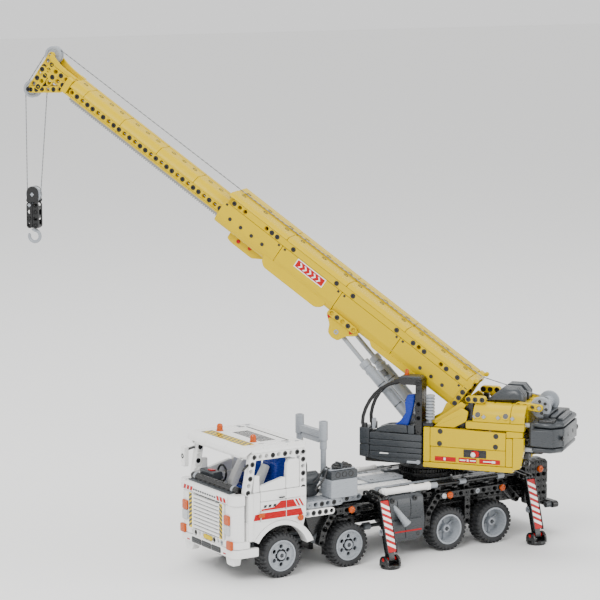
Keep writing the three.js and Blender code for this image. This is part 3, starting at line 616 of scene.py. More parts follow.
for number, x in enumerate(AXLES, 1):
    for corner, side in (("near", -1), ("far", 1)):
        name = f"wheel_{number}_{corner}"
        at = truck @ Matrix.Translation((x, side * 50, AXLE_HEIGHT))
        rim = flush_rim if number < 3 else deep_rim
        wheel = {"rubber": tyre(), "light_grey": rim(side)}
        tip = axle_end(1, 5.4) if number < 3 else axle_end(1, 2.2)
        wheel["dark_grey"] = [tip if side > 0 else flipped(tip)]
        assemble(wheel, name, name, at, (name,))
        if number > 2:
            continue
        name = f"steering_knuckle_{number}_{corner}"
        knuckle = defaultdict(list)
        at = truck @ Matrix.Translation((x, side * 34, AXLE_HEIGHT))
        beam(knuckle, "light_grey", (0, 0, -8), (0, 0, 8), "kok")
        beam(knuckle, "dark_grey", (0, side * 1, 13), (0, side * 1, 13), "o", across=(0, 0, 1))
        knuckle["light_grey"] += [rod((0, 0, 0.6), "z", 2.9, 28), rod((0, side * 8, 0), "y", 4, 4)]
        knuckle["dark_grey"].append(rod((0, side * 12, 0), "y", 2.2, 24))
        assemble(knuckle, name, name, at, (name,))

# ---- outriggers ------------------------------------------------------------------------------
# Each leg is a bent black arm faced with a red plate that carries white slanting film stripes.
# It swings from pins in the frame, and a half-round black foot hangs from a red axle.
OUTRIGGERS = (124, 328)
LEG_TOP, KNEE, FOOT = (44, 76), (70, 72), (87, 10)
leg_run = Vector((FOOT[0] - KNEE[0], FOOT[1] - KNEE[1]))
for row, x in enumerate(OUTRIGGERS, 1):
    for corner, side in (("near", -1), ("far", 1)):
        name = f"outrigger_leg_{row}_{corner}"
        leg = defaultdict(list)
        at = truck @ Matrix.Translation((x, 0, 0))
        knee = (0, side * (KNEE[0] - 1), KNEE[1] - 1)
        for dx in (-4, 4):
            beam(leg, "black", (dx, side * LEG_TOP[0], LEG_TOP[1]), (dx, knee[1], knee[2] + 3), "oboo",
                 across=(1, 0, 0), width=3.6)
        down = leg_run.normalized()
        start = Vector((0, side * (KNEE[0] - 0.5), KNEE[1] - 4))
        end = Vector((0, side * FOOT[0], FOOT[1]))
        beam(leg, "black", start, end, "obogobob", across=(1, 0, 0), width=7.6)
        out = Vector((0, side * -down.y, down.x)).normalized()
        run = (end - start).normalized()
        frame_of = Matrix((Vector((1, 0, 0)), run, out)).transposed().to_4x4()
        face = Matrix.Translation(start + out * 4.4) @ frame_of
        length = (end - start).length - 7
        leg["red"].append(moved(block((-5.7, 5.7), (-4, length), (-0.4, 2.2), "z", 0.4, 1), face))
        stripes = []
        step = 7.2
        for k in range(int((length + 2) / step)):
            y = -2 + k * step
            stripe = [(-5.2, y), (5.2, y + 5.6), (5.2, min(y + 9.2, length)), (-5.2, y + 3.6)]
            stripes.append(moved(plate(stripe, 2.15, 2.36, "z", 0.05), face))
        leg["white"] = stripes
        frame_bar = [moved(block((sx - 0.8, sx + 0.8), (-5, length + 1), (-1, 2.9), "z", 0.3, 0.6), face)
                     for sx in (-6.1, 6.1)]
        leg["black"] += frame_bar
        mid = start.lerp(end, 0.5)
        leg["light_grey"] = [moved(turned([(2.6, -6.8), (2.6, 6.8), (3.7, 6.8), (3.7, -6.8)], sides=16),
                                   Matrix.Translation(mid) @ Matrix.Rotation(math.pi / 2, 4, "Z"))]
        assemble(leg, name, name, at, (name,))
        name = f"outrigger_foot_{row}_{corner}"
        foot = {"black": [turned([(0, 0), (10.4, 0), (11, 0.6), (11, 3.2), (9.6, 4.6), (5, 5), (0, 5)],
                                 (0, side * FOOT[0], 0), "z", 32)]}
        for low, high in ((-9.6, -6.4), (6.4, 9.6)):
            cheek = [(side * FOOT[0] - 7.6, 2), (side * FOOT[0] + 7.6, 2)]
            bend = [(side * FOOT[0] + 7.6 * math.cos(a), 6.4 + 7.6 * math.sin(a))
                    for a in [math.pi * k / 10 for k in range(11)]]
            foot["black"].append(plate(cheek + bend, low, high, "x", 0.4))
        foot["red"] = [rod((0, side * FOOT[0], FOOT[1]), "x", 2.2, 19.6)]
        assemble(foot, name, name, at, (name,))

# ---- the deck and what stands on it ------------------------------------------------------------
# White and light grey beams lie side by side on the frame. Behind the cab stand two exhaust
# stacks joined by a brace, and a grey battery case with its leads tied down on top.
deck = defaultdict(list)
for k, y in enumerate(range(-36, 37, 8)):
    finish = "white" if k % 3 else "light_grey"
    if abs(y) > 30:
        beam(deck, finish, (36, y, 75.1), (108, y, 75.1), "oo-o", across=(0, 0, 1), height=7.8)
        beam(deck, finish, (142, y, 75.1), (310, y, 75.1), "o--o", across=(0, 0, 1), height=7.8)
    else:
        beam(deck, finish, (37, y, 75.1), (189, y, 75.1), "o-oo--", across=(0, 0, 1), height=7.8)
        beam(deck, "black", (277, y, 75.1), (333, y, 75.1), "oboo", across=(0, 0, 1), height=7.8)
for side in (-1, 1):
    y = side * 44
    beam(deck, "light_grey", (36, y, 75), (108, y, 75), "obtobo", faces=(side,))
    beam(deck, "light_grey", (38, side * 52, 75), (78, side * 52, 75), "tobobt", faces=(side,))
    beam(deck, "white", (34, side * 54, 66.5), (66, side * 54, 66.5), "tbbbo", faces=(side,))
    beam(deck, "black", (142, y, 75), (310, y, 75), "oboo", faces=(side,))
    pipe_y, pipe_z = side * 54, 77.5
    deck["white"].append(rod((166, pipe_y, pipe_z), "x", 3.9, 66, 20))
    deck["white"] += [rod((x, pipe_y, pipe_z), "x", 4.6, 5, 20) for x in (138, 176, 197)]
    deck["black"].append(rod((262, pipe_y + side * -1, pipe_z - 0.5), "x", 2.3, 126, 14))
    deck["light_grey"] += [rod((x, pipe_y - side, pipe_z - 0.5), "x", 3.3, 9, 18) for x in (206, 246, 300)]
    for x in (150, 188, 226, 270, 308):
        deck["black"].append(block((x - 3, x + 3), outward(side, 47, 53), (72.5, 77), "x", 0.3, 1))
    for x in (56, 196, 240, 284):
        beam(deck, "black", (x, side * 30, 70), (x, side * 46, 70), "obo", across=(1, 0, 0), width=5)
cover = [(146, -14), (190, -14), (196, -8), (196, 8), (190, 14), (146, 14)]
deck["light_grey"].append(plate(cover, 79.1, 81.4, "z", 0.5))
stud_row(deck, "black", [(x, y, 81.4) for x in (152, 184) for y in (-8, 8)], across=(0, 0, 1))
assemble(deck, "deck_panel", "chassis", truck, ("deck_panel",))

# The gearbox and the bundled leads behind the cab, seen between the stacks.
works = defaultdict(list)
works["dark_grey"] += [block((36, 62), (-34, 34), (79.2, 98), "y", 0.6, 3),
                       block((40, 58), (-20, 30), (98, 116), "y", 0.6, 4),
                       rod((49, -34, 100), "x", 8, 22, 24), rod((49, 30, 92), "y", 9, 16, 24)]
for y in (-28, -12, 4, 20):
    beam(works, "black", (38, y, 84), (62, y, 84), "bobo", faces=(-1, 1))
beam(works, "light_grey", (64, -16, 84), (64, 24, 84), "obobob", across=(1, 0, 0))
assemble(works, "cab_rear_works", "chassis", truck)

stacks = defaultdict(list)
for side in (-1, 1):
    at = (76, side * 24.5, 0)
    column = [(0, 79.4), (5, 79.4), (5, 84), (3.4, 84.6), (3.4, 92), (5, 92.6), (5, 96), (3.2, 96.6),
              (3.2, 128), (4, 128.6), (4, 138),
              (5, 138.8), (5, 159.4), (4.4, 160), (3.2, 160), (3.2, 154), (0, 154)]
    stacks["light_grey"].append(turned(column, at, "z", 28))
    for k in range(3):
        stacks["light_grey"].append(turned([(3.2, 98 + 2.2 * k), (3.9, 98.3 + 2.2 * k),
                                            (3.9, 99.3 + 2.2 * k), (3.2, 99.6 + 2.2 * k)], at, "z", 24))
beam(stacks, "light_grey", (76, -24.5, 145), (76, 24.5, 145), "o-----o", across=(1, 0, 0), width=6.6)
beam(stacks, "light_grey", (76, -16, 137.6), (76, 16, 137.6), "-----", across=(1, 0, 0), width=3, height=6)
assemble(stacks, "exhaust_stacks", "chassis", truck, ("exhaust_stacks",))

battery = defaultdict(list)
battery["light_grey"].append(block((65, 100), (-58, -38.2), (79.3, 100), "y", 0.7, 1.4))
battery["dark_grey"].append(block((65.2, 99.8), (-57.6, -38.4), (100.1, 109.6), "y", 0.5, 1))
for x in (74, 82.5, 91):
    for y, out in ((-57.8, -1), (-38.3, 1)):
        battery["black"].append(turned([(0, y - out * 0.6), (2.4, y - out * 0.6), (2.4,
            y + out * 0.1), (3.3, y + out * 0.1), (3.3, y - out), (0, y - out)], (x, 0, 105.4), sides=18))
battery["light_grey"].append(block((66, 99), (-55, -41), (109.6, 111.2), "z", 0.5, 2))
assemble(battery, "battery_box", "chassis", truck, ("battery_box",))

# The case's two rubber-sheathed leads: looped back and forth on the lid and held by a tie.
LEAD_RADIUS = 1.15
leads = []
for k, (y, rise) in enumerate(((-53, 0), (-49.4, 0.5), (-45.8, 0), (-51.2, 1.9), (-47.6, 2.1))):
    route = []
    for i in range(25):
        t = 2 * math.pi * i / 24
        route.append((82 + (12 - 1.2 * k) * math.cos(t + k), y + 2.1 * math.sin(2 * t + k),
                      112.6 + rise + 0.8 * (1 + math.sin(3 * t + 2 * k))))
    leads.append(along(route, LEAD_RADIUS, 10))
leads.append(along([(70 - 3 * k, -42 + 1.5 * math.sin(k), 112.6 - 2.6 * k) for k in range(7)], LEAD_RADIUS,
                   10))
leads.append(along([(68 - 2.6 * k, -50 + 1.6 * math.sin(k + 1), 112.8 - 3.4 * k) for k in range(8)],
                   LEAD_RADIUS, 10))
STOCK["lead_rubber"] = (moulded_abs("lead_rubber_sheath", "#232426", 0.5, 0.15), "black_abs")
battery_leads = {"lead_rubber": leads, "dark_grey": [block((79, 81.4), (-55.6, -43.4), (111.2, 117.8), "x",
                                                           0.3, 1)]}
assemble(battery_leads, "battery_leads", "chassis", truck)

# ---- side fairings, wheel arches and tail --------------------------------------------------------
# Dark grey bent panels close the gap between the axles and carry a ribbed exhaust horn. Black
# beams with bent ends make the arches, with round amber lamps pressed into their holes.


def clear_lens(name, hex_code):
    """Cast transparent ABS for lamps: strongly tinted, with a deep gloss and a painted inner glow, the tint
    painted brighter at the middle of each facet.
    """
    made = bpy.data.materials.new(name)
    made.use_nodes = True
    tree = made.node_tree
    tree.nodes.clear()
    where = node(tree, "ShaderNodeTexCoord").outputs["Object"]
    facets = node(tree, "ShaderNodeTexVoronoi", {"Scale": 1 / (1.1 * MM)}, {"Vector": where})
    relief = node(tree, "ShaderNodeBump", {"Strength": 0.35, "Distance": 0.2 * MM},
                  {"Height": facets.outputs["Distance"]})
    # Painted glow: the tint is full at the middle of each facet and falls to 0.6 of it towards the facet's
    # rim.
    painted_glow = node(tree, "ShaderNodeMix", {"data_type": "RGBA", 6: colour(hex_code),
                                       7: (*[c * 0.6 for c in colour(hex_code)[:3]], 1)},
               {0: facets.outputs["Distance"]})
    lens = node(tree, "ShaderNodeBsdfPrincipled", {"Roughness": 0.08, "IOR": 1.54,
                                                   "Transmission Weight": 0.3, "Specular IOR Level": 0.3},
                {"Base Color": painted_glow.outputs[2], "Normal": relief.outputs["Normal"]})
    node(tree, "ShaderNodeOutputMaterial", None, {"Surface": lens.outputs["BSDF"]})
    return made


STOCK["amber"] = (clear_lens("amber_clear_abs", "#e66000"), None)
STOCK["clear"] = (clear_lens("clear_abs", "#e9edf0"), None)


def lamp_button(kit, finish, point, out, radius=3.9):
    """A round lens with a raised rim, pressed on to a panel or a beam."""
    turn = Vector((0, 0, 1)).rotation_difference(Vector(out)).to_matrix().to_4x4()
    lens = [(0, 0), (radius - 0.2, 0), (radius, 0.4), (radius, 1.8), (radius - 0.6, 2.5), (1.8, 2.9),
            (1.5, 2.4), (0, 2.4)]
    kit[finish].append(moved(turned(lens, axis="z", sides=24), Matrix.Translation(point) @ turn))


for corner, side in (("near", -1), ("far", 1)):
    fairing = defaultdict(list)
    skin = [(134, 62), (140, 70), (146, 72.6), (184, 72.6), (190, 68), (190, 58), (192, 40), (190, 24),
            (184, 18.5), (146, 18.5), (140, 24), (136, 40)]
    fairing["dark_grey"].append(plate(rounded(skin, 4, 4), *outward(side, 50, 57.4), edge=0.8))
    for low, high in ((140, 152.6), (153, 170.6), (171, 188)):
        bend = [(side * 57.2, 44), (side * 59.6, 50), (side * 59.8, 58), (side * 58.4, 66),
                (side * 54.6, 72.6), (side * 52, 72.8), (side * 55.6, 64), (side * 57, 54)]
        fairing["dark_grey"].append(plate(bend, low, high, "x", 0.5))
    for low, high in ((140, 163.8), (164.2, 187)):
        fairing["dark_grey"].append(block((low, high), outward(side, 57.2, 59), (22, 43.5), "y", 0.5, 2))
    stud_row(fairing, "black", [(146.3, side * 59.4, 67), (177, side * 59.4, 67), (146, side * 59.1, 26),
                                (181, side * 59.1, 26)], across=(0, side, 0))
    fairing["red"].append(plate([(142, 29.6), (186, 29.6), (186, 31.2), (142, 31.2)],
                                *outward(side, 58.95, 59.15), edge=0.05))
    horn = [(0, 0), (2, 0), (2.2, 2)]
    for k in range(8):
        horn += [(2.6 + 0.22 * k, 3 + 2.6 * k), (2.9 + 0.22 * k, 3.4 + 2.6 * k),
                 (2.9 + 0.22 * k, 4.6 + 2.6 * k), (2.6 + 0.22 * k, 5 + 2.6 * k)]
    horn += [(4.9, 25), (4.9, 26.6), (3.6, 26.8), (3.4, 23), (0, 23)]
    lie = Vector((14, side * 9, -22)).normalized()
    turn = Vector((0, 0, 1)).rotation_difference(lie).to_matrix().to_4x4()
    fairing["light_grey"].append(moved(turned(horn, axis="z", sides=24),
                                       Matrix.Translation((148, side * 57.5, 61)) @ turn))
    assemble(fairing, f"side_fairing_{corner}", "chassis", truck, (f"side_fairing_{corner}",))

    arch = defaultdict(list)
    y = side * 53
    beam(arch, "black", (210, y, 64), (306, y, 64), "ooobobotobobo", faces=(-1, 1))
    beam(arch, "black", (210, y, 64), (197, y, 46), "ooo")
    beam(arch, "black", (197, y, 46), (195, y, 30), "obo")
    beam(arch, "black", (306, y, 64), (322, y, 48), "oboo")
    beam(arch, "black", (254, side * 51, 62), (254, side * 51, 30), "obobo", width=5)
    for x in (214, 254, 302):
        beam(arch, "black", (x, side * 47, 68), (x, side * 47, 76), "oo", faces=(side,))
    for x in (226, 300):
        lamp_button(arch, "amber", (x, side * 57, 64), (0, side, 0))
    lamp_button(arch, "clear", (218, side * 57, 64), (0, side, 0), 3)
    assemble(arch, f"arch_beam_{corner}", "chassis", truck, (f"arch_beam_{corner}",))

    fore_arch = defaultdict(list)
    beam(fore_arch, "black", (70, y, 64), (118, y, 64), "obobobo", faces=(-1, 1))
    beam(fore_arch, "black", (70, y, 64), (57, y, 46), "ooo")
    beam(fore_arch, "black", (57, y, 46), (53, y, 31), "obo")
    lamp_button(fore_arch, "amber", (92, side * 57, 64), (0, side, 0))
    skirt = [(36, 62), (64, 62), (54, 44), (46, 38), (40, 48)]
    fore_arch["black"].append(plate(rounded(skirt, 3, 3), *outward(side, 44, 50), edge=0.6))
    for x in (72, 88, 104):
        beam(fore_arch, "black", (x, side * 28, 58), (x, side * 48, 58), "obo", across=(1, 0, 0), width=6)
    assemble(fore_arch, f"fore_arch_{corner}", "chassis", truck)

tail = defaultdict(list)
for side in (-1, 1):
    for x in (346, 354, 362, 370):
        beam(tail, "black", (x, side * 42, 40), (x, side * 42, 84), "bobbob", width=7, faces=(side,))
    for low, high in ((39, 56.6), (57, 84)):
        tail["black"].append(block((374, 377.6), outward(side, 24, 43), (low, high), "x", 0.5, 2))
    lamp_button(tail, "amber", (364, side * 45.2, 76), (0, side, 0))
    lamp_button(tail, "amber", (377.4, side * 37, 72), (1, 0, 0))
    lamp_button(tail, "amber", (383, side * 50, 33), (1, 0, 0), 3.2)
    tail["dark_grey"].append(rod((376, side * 50, 33), "x", 3.4, 14, 20))
for z in (44, 60, 76):
    beam(tail, "black", (374, -20, z), (374, 20, z), "obtobo", across=(1, 0, 0), faces=(1,))
tail["black"] += [block((342, 346), (-44, 44), (66.6, 78), "x", 0.5, 1),
                  block((342, 376), (-40, 40), (80, 85), "z", 0.6, 3)]
for y in range(-32, 33, 16):
    tail["dark_grey"].append(block((344, 373), (y - 5, y + 5), (85, 87.4), "z", 0.5, 2))
beam(tail, "black", (381, -52, 33), (381, 52, 33), "oboboobobobobo", across=(1, 0, 0))
for side in (-1, 1):
    beam(tail, "black", (373, side * 18, 34), (381, side * 18, 34), "oo")
tail["white"].append(plate([(-14, 40), (14, 40), (14, 50), (-14, 50)], 378, 379, "x", 0.2))
assemble(tail, "rear_housing", "chassis", truck, ("rear_housing",))

# The slewing ring: a black turntable whose rim is a ring of gear teeth.
turntable = defaultdict(list)
ring_profile = [(9, 66.6), (29, 66.6), (29, 79), (31.4, 79.6), (31.4, 84), (28.6, 84.4), (28.6, 87.8),
                (9, 87.8)]
turntable["black"].append(turned(ring_profile, (SLEW_AXIS, 0, 0), "z", 60))
for k in range(56):
    tooth = [(-0.7, 28), (0.7, 28), (0.4, 31.2), (-0.4, 31.2)]
    place = Matrix.Translation((SLEW_AXIS, 0, 0)) @ Matrix.Rotation(2 * math.pi * k / 56, 4, "Z")
    turntable["black"].append(moved(plate(tooth, 84, 87.6, "z", 0.2), place))
assemble(turntable, "turntable_base", "chassis", truck, ("turntable_base",))

# ---- the truck cab -------------------------------------------------------------------------------
# White panels and beams on the frame: bent fenders, doors with seams, a louvred grille between
# two hazard strips, and a flat roof with a rounded brow on slanting pillars.
CAB_Y = 60  # the doors' outside, from the middle plane
FENDER = (34.2, 39.5)  # the round opening over the wheel, and the fender's outside
cab = defaultdict(list)
for side in (-1, 1):
    skin, back = side * CAB_Y, side * 52
    sweep = [math.radians(a) for a in range(18, 151, 6)]
    opening = [(FENDER[0] * math.cos(a), AXLE_HEIGHT + FENDER[0] * math.sin(a)) for a in sweep]
    outside = [((FENDER[1] + (3.5 if a < 1 else 0)) * math.cos(a), AXLE_HEIGHT + FENDER[1] * math.sin(a))
               for a in reversed(sweep)]
    cab["white"].append(plate(opening + outside, *sorted((side * 46, skin)), edge=0.7))
    over = [(-44, 45), (-37, 45)] + [(39.8 * math.cos(a), AXLE_HEIGHT + 39.8 * math.sin(a))
                                     for a in [math.radians(b) for b in range(150, 40, -8)]]
    cab["white"].append(plate(over + [(30.6, 64), (30.6, 66), (-44, 66)], *outward(side, 52, 58.6),
                              edge=0.4))
    for x0, x1, z0, z1 in ((-27, 4.8, 66, 76.8), (5.2, 31, 66, 76.8), (-27, 4.8, 77.2, 87.6),
                           (5.2, 31, 77.2, 87.6),
                           (-27, 4.8, 88, 98.6), (5.2, 31, 88, 98.6)):
        cab["white"].append(block((x0, x1), sorted((back, skin)), (z0, z1), "y", 0.45, 0.8))
    strip = [(-43, 46), (-36.6, 46), (-36.6, 98), (-43, 98)]
    cab["white"].append(plate(rounded(strip, 1.2, 2), *sorted((back, side * 60.4)), edge=0.5))
    cab["white"].append(block((-36.2, -27.4), sorted((back, side * 59)), (66, 98), "y", 0.45, 0.8))
    door_top = rounded([(-27, 99), (5, 99), (5, 111.4), (2, 112), (-20, 106.6), (-27, 105)], 1.2, 3)
    cab["white"].append(plate(door_top, *outward(side, 53.6, 59), edge=0.6))
    quarter = rounded([(5.6, 99), (22.6, 99), (22.6, 129), (20, 131), (10, 131), (7, 127)], 1.6, 3)
    cab["white"].append(plate(quarter, *outward(side, 53, 59), edge=0.6))
    beam(cab, "white", (27, side * 56, 75), (27, side * 56, 137), "obobobob", faces=(-1, 1))
    beam(cab, "white", (-35, side * 56, 138), (27, side * 56, 138), "boobobobb", faces=(-1, 1))
    beam(cab, "white", (-43, side * 55.6, 99.5), (-36, side * 55.6, 138), "bobobb", faces=(-1, 1))
    cab["white"].append(plate(rounded([(-35.6, 98.4), (-27.4, 98.4), (-27.4, 117), (-34, 117)], 1, 2),
                              *outward(side, 53.4, 57.6), edge=0.5))
    corner_skin = [(-46, side * 60), (-56, side * 60), (-60.5, side * 56), (-62, side * 47),
                   (-58, side * 47), (-46, side * 50)]
    cab["white"].append(plate(rounded(corner_skin, 3, 4), 86, 97.6, "z", 0.6))
    cheek = [(-46, side * 58.6), (-55, side * 58.4), (-60, side * 52), (-60.4, side * 39), (-56, side * 39),
             (-46, side * 44)]
    cab["white"].append(plate(rounded(cheek, 3, 4), 46, 85.6, "z", 0.6))
    low = [(-46, side * 57), (-54, side * 56), (-59, side * 50), (-59, side * 39), (-46, side * 44)]
    cab["light_grey"].append(plate(rounded(low, 3, 3), 40, 45.6, "z", 0.5))
    for z0, z1, finish in ((64, 74.6, "amber"), (52.5, 63.6, "clear")):
        cab[finish].append(block((-62.4, -60), outward(side, 39.6, 50.4), (z0, z1), "x", 0.5, 1))
    cab["amber"].append(block((-30.4, -22.4), outward(side, 60, 61.2), (70.6, 75.6), "y", 0.4, 1))
    lamp_button(cab, "amber", (23.4, side * 59.6, 64.8), (0, side, 0), 3.6)
    # film stripes on the doors: a wedge over a band, both cut on the slant at the rear
    for points in ([(-26.6, 78), (-5, 78), (5, 78), (5, 86.4), (-2, 86.4), (-10, 80.6), (-26.6, 79.8)],
                   [(5.6, 78), (19, 78), (14, 86.4), (5.6, 86.4)],
                   [(21, 78), (23.4, 78), (18.4, 86.4), (16, 86.4)],
                   [(25.4, 78), (27.8, 78), (22.8, 86.4), (20.4, 86.4)],
                   [(-26.6, 68), (4.6, 68), (4.6, 75.4), (-26.6, 75.4)],
                   [(5.6, 68), (27, 68), (24, 75.4), (5.6, 75.4)],
                   [(-36, 67.6), (-27.6, 67.6), (-27.6, 74.4), (-34, 74.4)]):
        level = 60.02 if points[0][0] > -30 else 59.02
        cab["red"].append(plate(points, *sorted((side * level, side * (level + 0.14))), edge=0.04))
    for k in range(3):
        x = -24 + 6 * k
        cab["black"].append(plate([(x, 81), (x + 3.6, 81), (x + 4.6, 84), (x + 1, 84)],
                                  *outward(side, 60.02, 60.16), edge=0.04))
    handle = [(-1.5, side * 60.9, 90.5), (2, side * 61.6, 90.5), (5.5, side * 60.9, 90.5)]
    cab["black"].append(along([(x - 3, y, z) for x, y, z in handle], 0.8, 8))
cab["white"].append(block((26, 30.6), (-52, 52), (66.6, 108), "x", 0.5, 1))
for y in range(-40, 41, 16):
    beam(cab, "light_grey", (32, y, 72), (32, y, 104), "oboob", across=(1, 0, 0), width=4, faces=(1,))
cab["white"].append(block((-42, 26), (-52, 52), (66.4, 70), "z", 0.5, 1))
cab["dark_grey"].append(block((-44, -42), (-50, 50), (66.4, 97), "x", 0.5, 1))
assemble(cab, "truck_cab_shell", "chassis", truck, ("truck_cab_shell",))

# Dashboard, steering wheel and two seats in blue and white.
STOCK["blue"] = (moulded_abs("blue_abs_gloss", "#06309a", 0.25, 0.1, 0.3), None)
inside = defaultdict(list)
dash = [(-44, 84), (-30, 84), (-28, 92), (-34, 99), (-44, 101)]
inside["dark_grey"].append(plate(rounded(dash, 2, 3), -50, 50, "y", 0.6))
inside["dark_grey"].append(block((-42, -30), (16, 46), (99, 108), "y", 0.6, 2))
inside["red"].append(block((-40, -34), (24, 32), (108, 109.2), "y", 0.3, 0.4))
inside["black"] += [rod((-48.5, 0, 100.5), "y", 4.2, 96, 24), rod((-30, 26, 99), "x", 1.6, 12)]
inside["light_grey"] += [rod((-48.5, y, 100.5), "y", 4.6, 4, 24) for y in (-40, 40)]
rim = [(-25 + 2 * math.sin(t) * 0.3, 26 + 9 * math.cos(t), 104 + 9 * math.sin(t))
       for t in [2 * math.pi * k / 24 for k in range(25)]]
inside["black"].append(along(rim, 1.2, 10))
for y in (-24, 24):
    base = rounded([(-14, 72), (10, 72), (10, 86), (-8, 90), (-16, 84)], 3, 4)
    seat_back = rounded([(2, 88), (12, 88), (19, 128), (12, 130), (6, 124)], 3, 4)
    inside["blue"] += [plate(base, y - 15, y + 15, "y", 1.6), plate(seat_back, y - 15, y + 15, "y", 1.6)]
    inside["white"].append(plate(rounded([(-17, 84), (-9, 90), (4, 118), (-1, 121), (-16, 96)], 2, 3),
                                 y - 5, y + 5, "y", 0.8))
    beam(inside, "light_grey", (10, y, 66), (10, y, 74), "oo")
    inside["blue"].append(plate(rounded([(9, 126), (16, 126), (18, 136), (11, 136)], 2, 3), y - 8, y + 8,
                                "y", 1.2))
assemble(inside, "cab_interior", "chassis", truck, ("window_frame",))

# The roof: a white panel with a rounded brow, a check strip, a dark mesh patch and two beacons.
roof = defaultdict(list)
brow_line = [(-50, 139.6)] + [(-50 + 10 * (1 - math.cos(a)), 141 + 8 * math.sin(a))
                              for a in [math.pi / 2 * k / 6 for k in range(7)]]
for low, high in ((-59.6, -20.2), (-19.8, 19.8), (20.2, 59.6)):
    skin = brow_line + [(-24.2, 149), (-24.2, 145), (-38, 144.6), (-44, 141), (-46, 139.2)]
    roof["white"].append(plate(skin, low, high, "y", 0.5))
    roof["white"].append(block((-23.8, 6.8), (low, high), (145, 149), "z", 0.45, 0.8))
    roof["white"].append(block((7.2, 31), (low, high), (144.4, 148.4), "z", 0.45, 0.8))
for side in (-1, 1):
    edge_skin = [(side * 60, 142.2), (side * 59.4, 146), (side * 56, 148.8), (side * 53, 148.4),
                 (side * 55.4, 144), (side * 56, 142.2)]
    roof["white"].append(plate(edge_skin, -38, 30.6, "x", 0.5))
    for x in (12, 24):
        stud_row(roof, "light_grey", [(x, side * 52, 148.7)], across=(0, 0, 1))
    lamp = [(0, 0), (4, 0), (4, 1.4), (3.4, 1.8), (3.4, 6), (2.8, 7.8), (1.4, 8.6), (0, 8.8)]
    roof["amber"].append(turned(lamp, (-22, side * 35.5, 149.2), "z", 28))
    roof["white"].append(turned([(0, 0), (4.8, 0), (4.8, 0.7), (0, 0.7)], (-22, side * 35.5, 148.9), "z",
                                24))
CHECK_X, CHECK_Y = (-40.4, -35.6, -30.8, -26), 46
for i, (x0, x1) in enumerate(zip(CHECK_X, CHECK_X[1:])):
    for k in range(24):
        y = -CHECK_Y + 3.8 * k
        finish = "black" if (k + i) % 2 else "hazard_yellow"
        slant = [(x0, y), (x1, y), (x1, y + 3.75), (x0, y + 3.75)]
        roof[finish].append(plate(slant, 148.95, 149.12, "z", 0.04))
for x in range(-13, 6, 4):
    for y in range(-36, 21, 4):
        roof["black"].append(plate([(x, y), (x + 3.3, y), (x + 3.3, y + 3.3), (x, y + 3.3)], 148.95, 149.1,
                                   "z", 0.04))
roof["black"].append(block((17, 19), (-44, 44), (148.2, 148.7), "z", 0.1, 0.3))
for x0 in (-22, 8):
    for side in (-1, 1):
        roof["black"].append(block((x0, x0 + 8), outward(side, 46, 44.8), (148.9, 149.12), "z", 0.05, 0.2))
roof["white"].append(block((-40, 30), (-55, 55), (141.5, 144.4), "z", 0.5, 1))
beam(roof, "white", (29, -44, 138), (29, 44, 138), "obobboobbobo", across=(1, 0, 0))
beam(roof, "white", (-44, -52, 138.4), (-44, 52, 138.4), "o------------o", across=(1, 0, 0), width=5,
     height=5)
STOCK["hazard_yellow"] = (moulded_abs("yellow_film", "#d6b800", 0.3, 0.05, 0.1), None)
assemble(roof, "cab_roof", "chassis", truck, ("cab_roof",))

# The grille: nine white louvres on a grey back, hazard strips either side, and a capping band.
grille = defaultdict(list)
grille["black"].append(block((-57, -46.4), (-36, 36), (44, 85.6), "x", 0.5, 1))
for k in range(9):
    z = 47 + 4.25 * k
    blade = [(-61.4, z), (-60.8, z + 2.3), (-57, z + 2.5), (-57, z + 0.8)]
    grille["white"].append(plate(blade, -27.4, 27.4, "y", 0.25))
    for y in (-18, 0, 18):
        grille["light_grey"].append(block((-59.6, -57), (y - 0.7, y + 0.7), (z + 2.4, z + 4.6), "x", 0.1,
                                          0.2))
for side in (-1, 1):
    grille["white"].append(block((-61.6, -57), outward(side, 28, 37.4), (44.6, 85.8), "x", 0.5, 1))
    y0, y1 = outward(side, 29.6, 36)
    grille["hazard_yellow"].append(plate([(y0, 46), (y1, 46), (y1, 85), (y0, 85)], -61.72, -61.58, "x",
                                         0.04))
    for k in range(8):
        z = 46.6 + 4.7 * k
        bar = [(y0, z), (y1, z + 3.4), (y1, z + 5.9), (y0, z + 2.5)]
        if side > 0:
            bar = [(y0, z + 3.4), (y1, z), (y1, z + 2.5), (y0, z + 5.9)]
        grille["black"].append(plate([(y, min(h, 85)) for y, h in bar], -61.84, -61.7, "x", 0.03))
band = [(-46, 86.2), (-61, 86.2), (-63, 88), (-63, 93.4), (-60.5, 96.6), (-46, 98)]
grille["white"].append(plate(band, -46.6, 46.6, "y", 0.6))
for side in (-1, 1):
    for k in range(3):
        y = side * (46 - 7 * k)
        slant = [(y, 88.2), (y - side * 5, 88.2), (y - side * 6.8, 93.2), (y - side * 1.8, 93.2)]
        grille["red"].append(plate(slant, -63.12, -62.96, "x", 0.03))
for k in range(10):
    y = -24 + 5 * k
    grille["dark_grey"].append(block((-63.3, -62.9), (y, y + 3.6), (89.6, 91.6), "x", 0.08, 0.5))
grille["dark_grey"].append(block((-58, -47), (-44, 44), (96.8, 98.6), "y", 0.4, 0.6))
for y in range(-40, 41, 10):
    grille["black"].append(rod((-52, y, 98.7), "y", 1.3, 7, 12))
beam(grille, "white", (-54, -36, 40.5), (-54, 36, 40.5), "otoboboobo", across=(1, 0, 0), faces=(-1,))
grille["hazard_yellow"].append(block((-59.2, -58), (-9, 9), (38.6, 43.2), "x", 0.2, 0.6))
assemble(grille, "front_grille", "chassis", truck, ("front_grille",))

